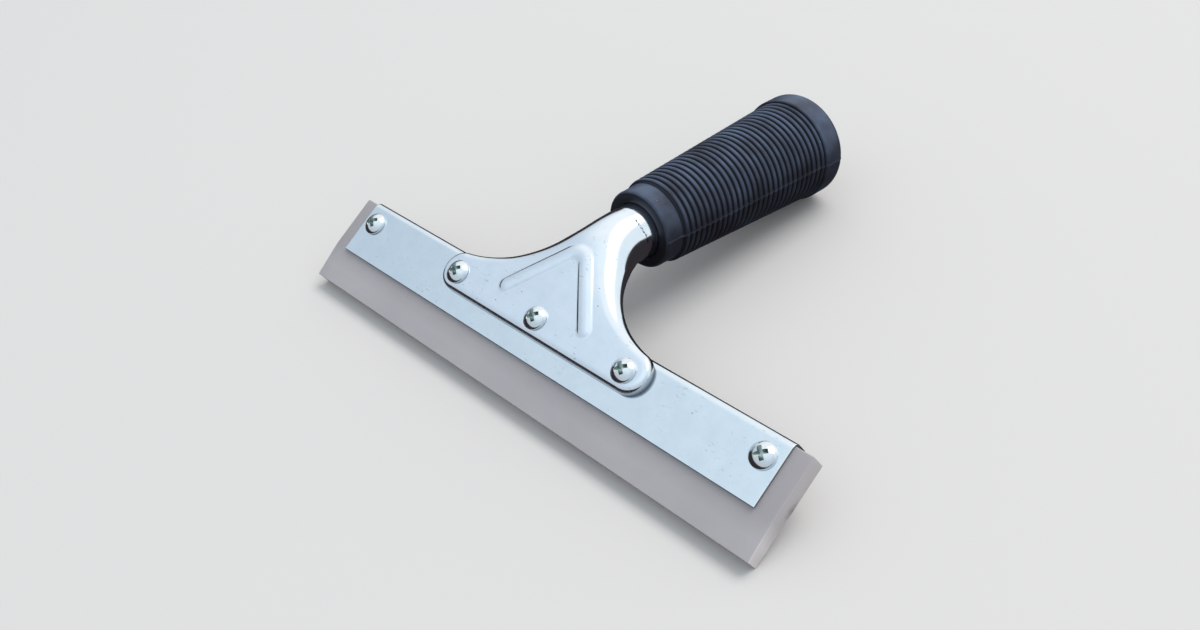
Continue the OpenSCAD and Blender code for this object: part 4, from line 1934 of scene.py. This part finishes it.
@dataclass(frozen=True)
class Studio:
    """The pale table, the soft light and the camera."""

    backdrop: str = "#e2e2e2"
    table: str = "#cbc7c4"
    walls: str = "#c4ccd2"
    table_half: float = 4.0
    table_squares: int = 8
    paint_grain_mm: float = 0.5
    paint_height_mm: float = 0.01
    lens: float = 35.62
    sensor_w: float = 36.0
    clip: Point2 = (0.01, 50.0)
    camera_place: Point3 = (0.23840, -0.21898, 0.25551)
    camera_right: Point3 = (0.69113, 0.71157, -0.12650)
    camera_up: Point3 = (-0.39085, 0.51521, 0.76275)
    glows: tuple[Glow, ...] = (
        # From the walls up to the soft ceiling.
        Glow((0.0, 0.0, 1.0), 0.10, 0.60, "#cbd8e4"),
        Glow((0.0, 0.0, 1.0), 0.56, 0.76, "#dbe8f3"),
        Glow((0.0, 0.0, 1.0), 0.72, 0.95, "#eaf7ff", 1.05),
        # The bright wall behind the tool, the glow high over it and the panel in that glow.
        Glow((0.36, 0.88, 0.31), 0.50, 0.85, "#eef7fb"),
        Glow((-0.30, 0.60, 0.74), 0.60, 0.98, "#fbfeff", 1.04),
        Glow((0.17, 0.51, 0.84), 0.88, 0.98, "#ffffff", 1.6),
        # The dark below, whose horizon leans a little.
        Glow((0.17, 0.0, 1.0), 0.06, -0.02, "#332e31"),
    )
    boxes: tuple[SoftBox, ...] = (
        SoftBox("overhead_box", (0.6, 1.8, 3.0), (2.4, 1.9), 63.0, "#ffffff"),
        SoftBox("side_fill", (3.3, -2.1, 1.65), (3.0, 3.0), 16.0, "#fff4ec"),
    )

    def light(self) -> None:
        """Makes the light of the room: bright above, dull at the horizon and dark below the table."""
        world = bpy.data.worlds.new("studio_room")
        bpy.context.scene.world = world
        world.use_nodes = True
        tree = world.node_tree
        tree.nodes.clear()
        way = add_node(tree, "TexCoord").outputs["Generated"]
        room: Any = linear(self.walls)
        for glow in self.glows:
            along = add_node(tree, "VectorMath", {0: way, 1: glow.toward}, operation="DOT_PRODUCT")
            spans = {"Value": along.outputs["Value"], "From Min": glow.start, "From Max": glow.full}
            step = add_node(tree, "MapRange", spans, interpolation_type="SMOOTHSTEP").outputs[0]
            layers = {0: step, 6: room, 7: linear(glow.colour, glow.gain)}
            room = add_node(tree, "Mix", layers, data_type="RGBA").outputs[2]
        # The camera sees a plain backdrop in place of the room.
        direct = add_node(tree, "LightPath").outputs["Is Camera Ray"]
        seen = {0: direct, 6: room, 7: linear(self.backdrop)}
        shown = add_node(tree, "Mix", seen, data_type="RGBA").outputs[2]
        glowing = add_node(tree, "Background", {"Color": shown, "Strength": 1.0})
        add_node(tree, "OutputWorld", {"Surface": glowing.outputs["Background"]})
        for box in self.boxes:
            box.hang()

    def floor(self) -> None:
        """Makes the plain pale table, matt enough to throw no mirror image."""
        mesh = bpy.data.meshes.new("table_top")
        work = bmesh.new()
        count = self.table_squares
        bmesh.ops.create_grid(work, x_segments=count, y_segments=count, size=self.table_half)
        work.to_mesh(mesh)
        work.free()
        table = bpy.data.objects.new("table_top", mesh)
        bpy.context.scene.collection.objects.link(table)
        r = Recipe("matt_painted_board")
        # The grain of the paint is too weak to draw the eye.
        paint = {"Vector": r.place, "Scale": per_metre(self.paint_grain_mm), "Detail": 2.0}
        grain = add_node(r.tree, "TexNoise", paint).outputs["Fac"]
        relief = [(grain, self.paint_height_mm, 0.2)]
        table.data.materials.append(r.finish(linear(self.table), [], relief, {"Roughness": 0.95}))
        table.visible_glossy = False

    def camera(self) -> None:
        """Makes the camera at the photograph's place."""
        data = bpy.data.cameras.new("view")
        data.sensor_width, data.sensor_fit, data.lens = self.sensor_w, "HORIZONTAL", self.lens
        data.clip_start, data.clip_end = self.clip
        camera = bpy.data.objects.new("view", data)
        right = Vector(self.camera_right).normalized()
        back = right.cross(Vector(self.camera_up)).normalized()
        turn = Matrix((right, back.cross(right), back)).transposed()
        camera.matrix_world = Matrix.Translation(self.camera_place) @ turn.to_4x4()
        bpy.context.scene.collection.objects.link(camera)
        bpy.context.scene.camera = camera

    def make(self) -> None:
        """Sets up the whole studio."""
        self.camera()
        self.light()
        self.floor()
        scene = bpy.context.scene
        scene.view_settings.view_transform = "Standard"
        scene.view_settings.look = "None"


def bracket_finish(
    layout: Layout, score_x: float = 4.4, score_s: float = -5.4, score_back: float = -6.8
) -> BuffedStainless:
    """The bracket's steel, painted a little brighter than the channel's as painted light, with its painted
    shade along the foot and its scratch in place.

    Args:
        layout: The shared sizes.
        score_x: Place of the scratch across the neck.
        score_s: Its place along the neck, counted from the front of the grip.
        score_back: Its place behind the neck's axis.

    Returns:
        The finish.
    """
    front, up = layout.way(0.0, -1.0, 0.0), layout.way(0.0, 0.0, 1.0)
    face, top = layout.spot(0.0, 0.0, 0.0), layout.spot(0.0, 0.0, layout.screw_drop)
    return BuffedStainless(
        "buffed_stainless_bracket",
        # Lighter colours than the channel's on the same steel: painted light.
        light="#f5faff",
        dull="#e1ebf5",
        wave_mm=21.0,
        score=Score(tuple(layout.to_world(layout.on_grip(score_x, score_s, score_back)))),
        foot=Foot(front, face.dot(front), up, top.dot(up)),
    )


def main() -> None:
    """Builds the whole scene in order."""
    logging.basicConfig(level=logging.INFO, format="%(name)s: %(message)s")
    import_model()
    layout = Layout()
    bench = Bench(layout)
    Studio().make()
    Blade(layout).make(bench)
    BladeChannel(layout).make(bench, BuffedStainless("buffed_stainless_channel").material())
    HandleBracket(layout).make(bench, bracket_finish(layout).material())
    Grip(layout).make(bench)
    Fastening(layout).make(bench)


if __name__ == "__main__":
    main()
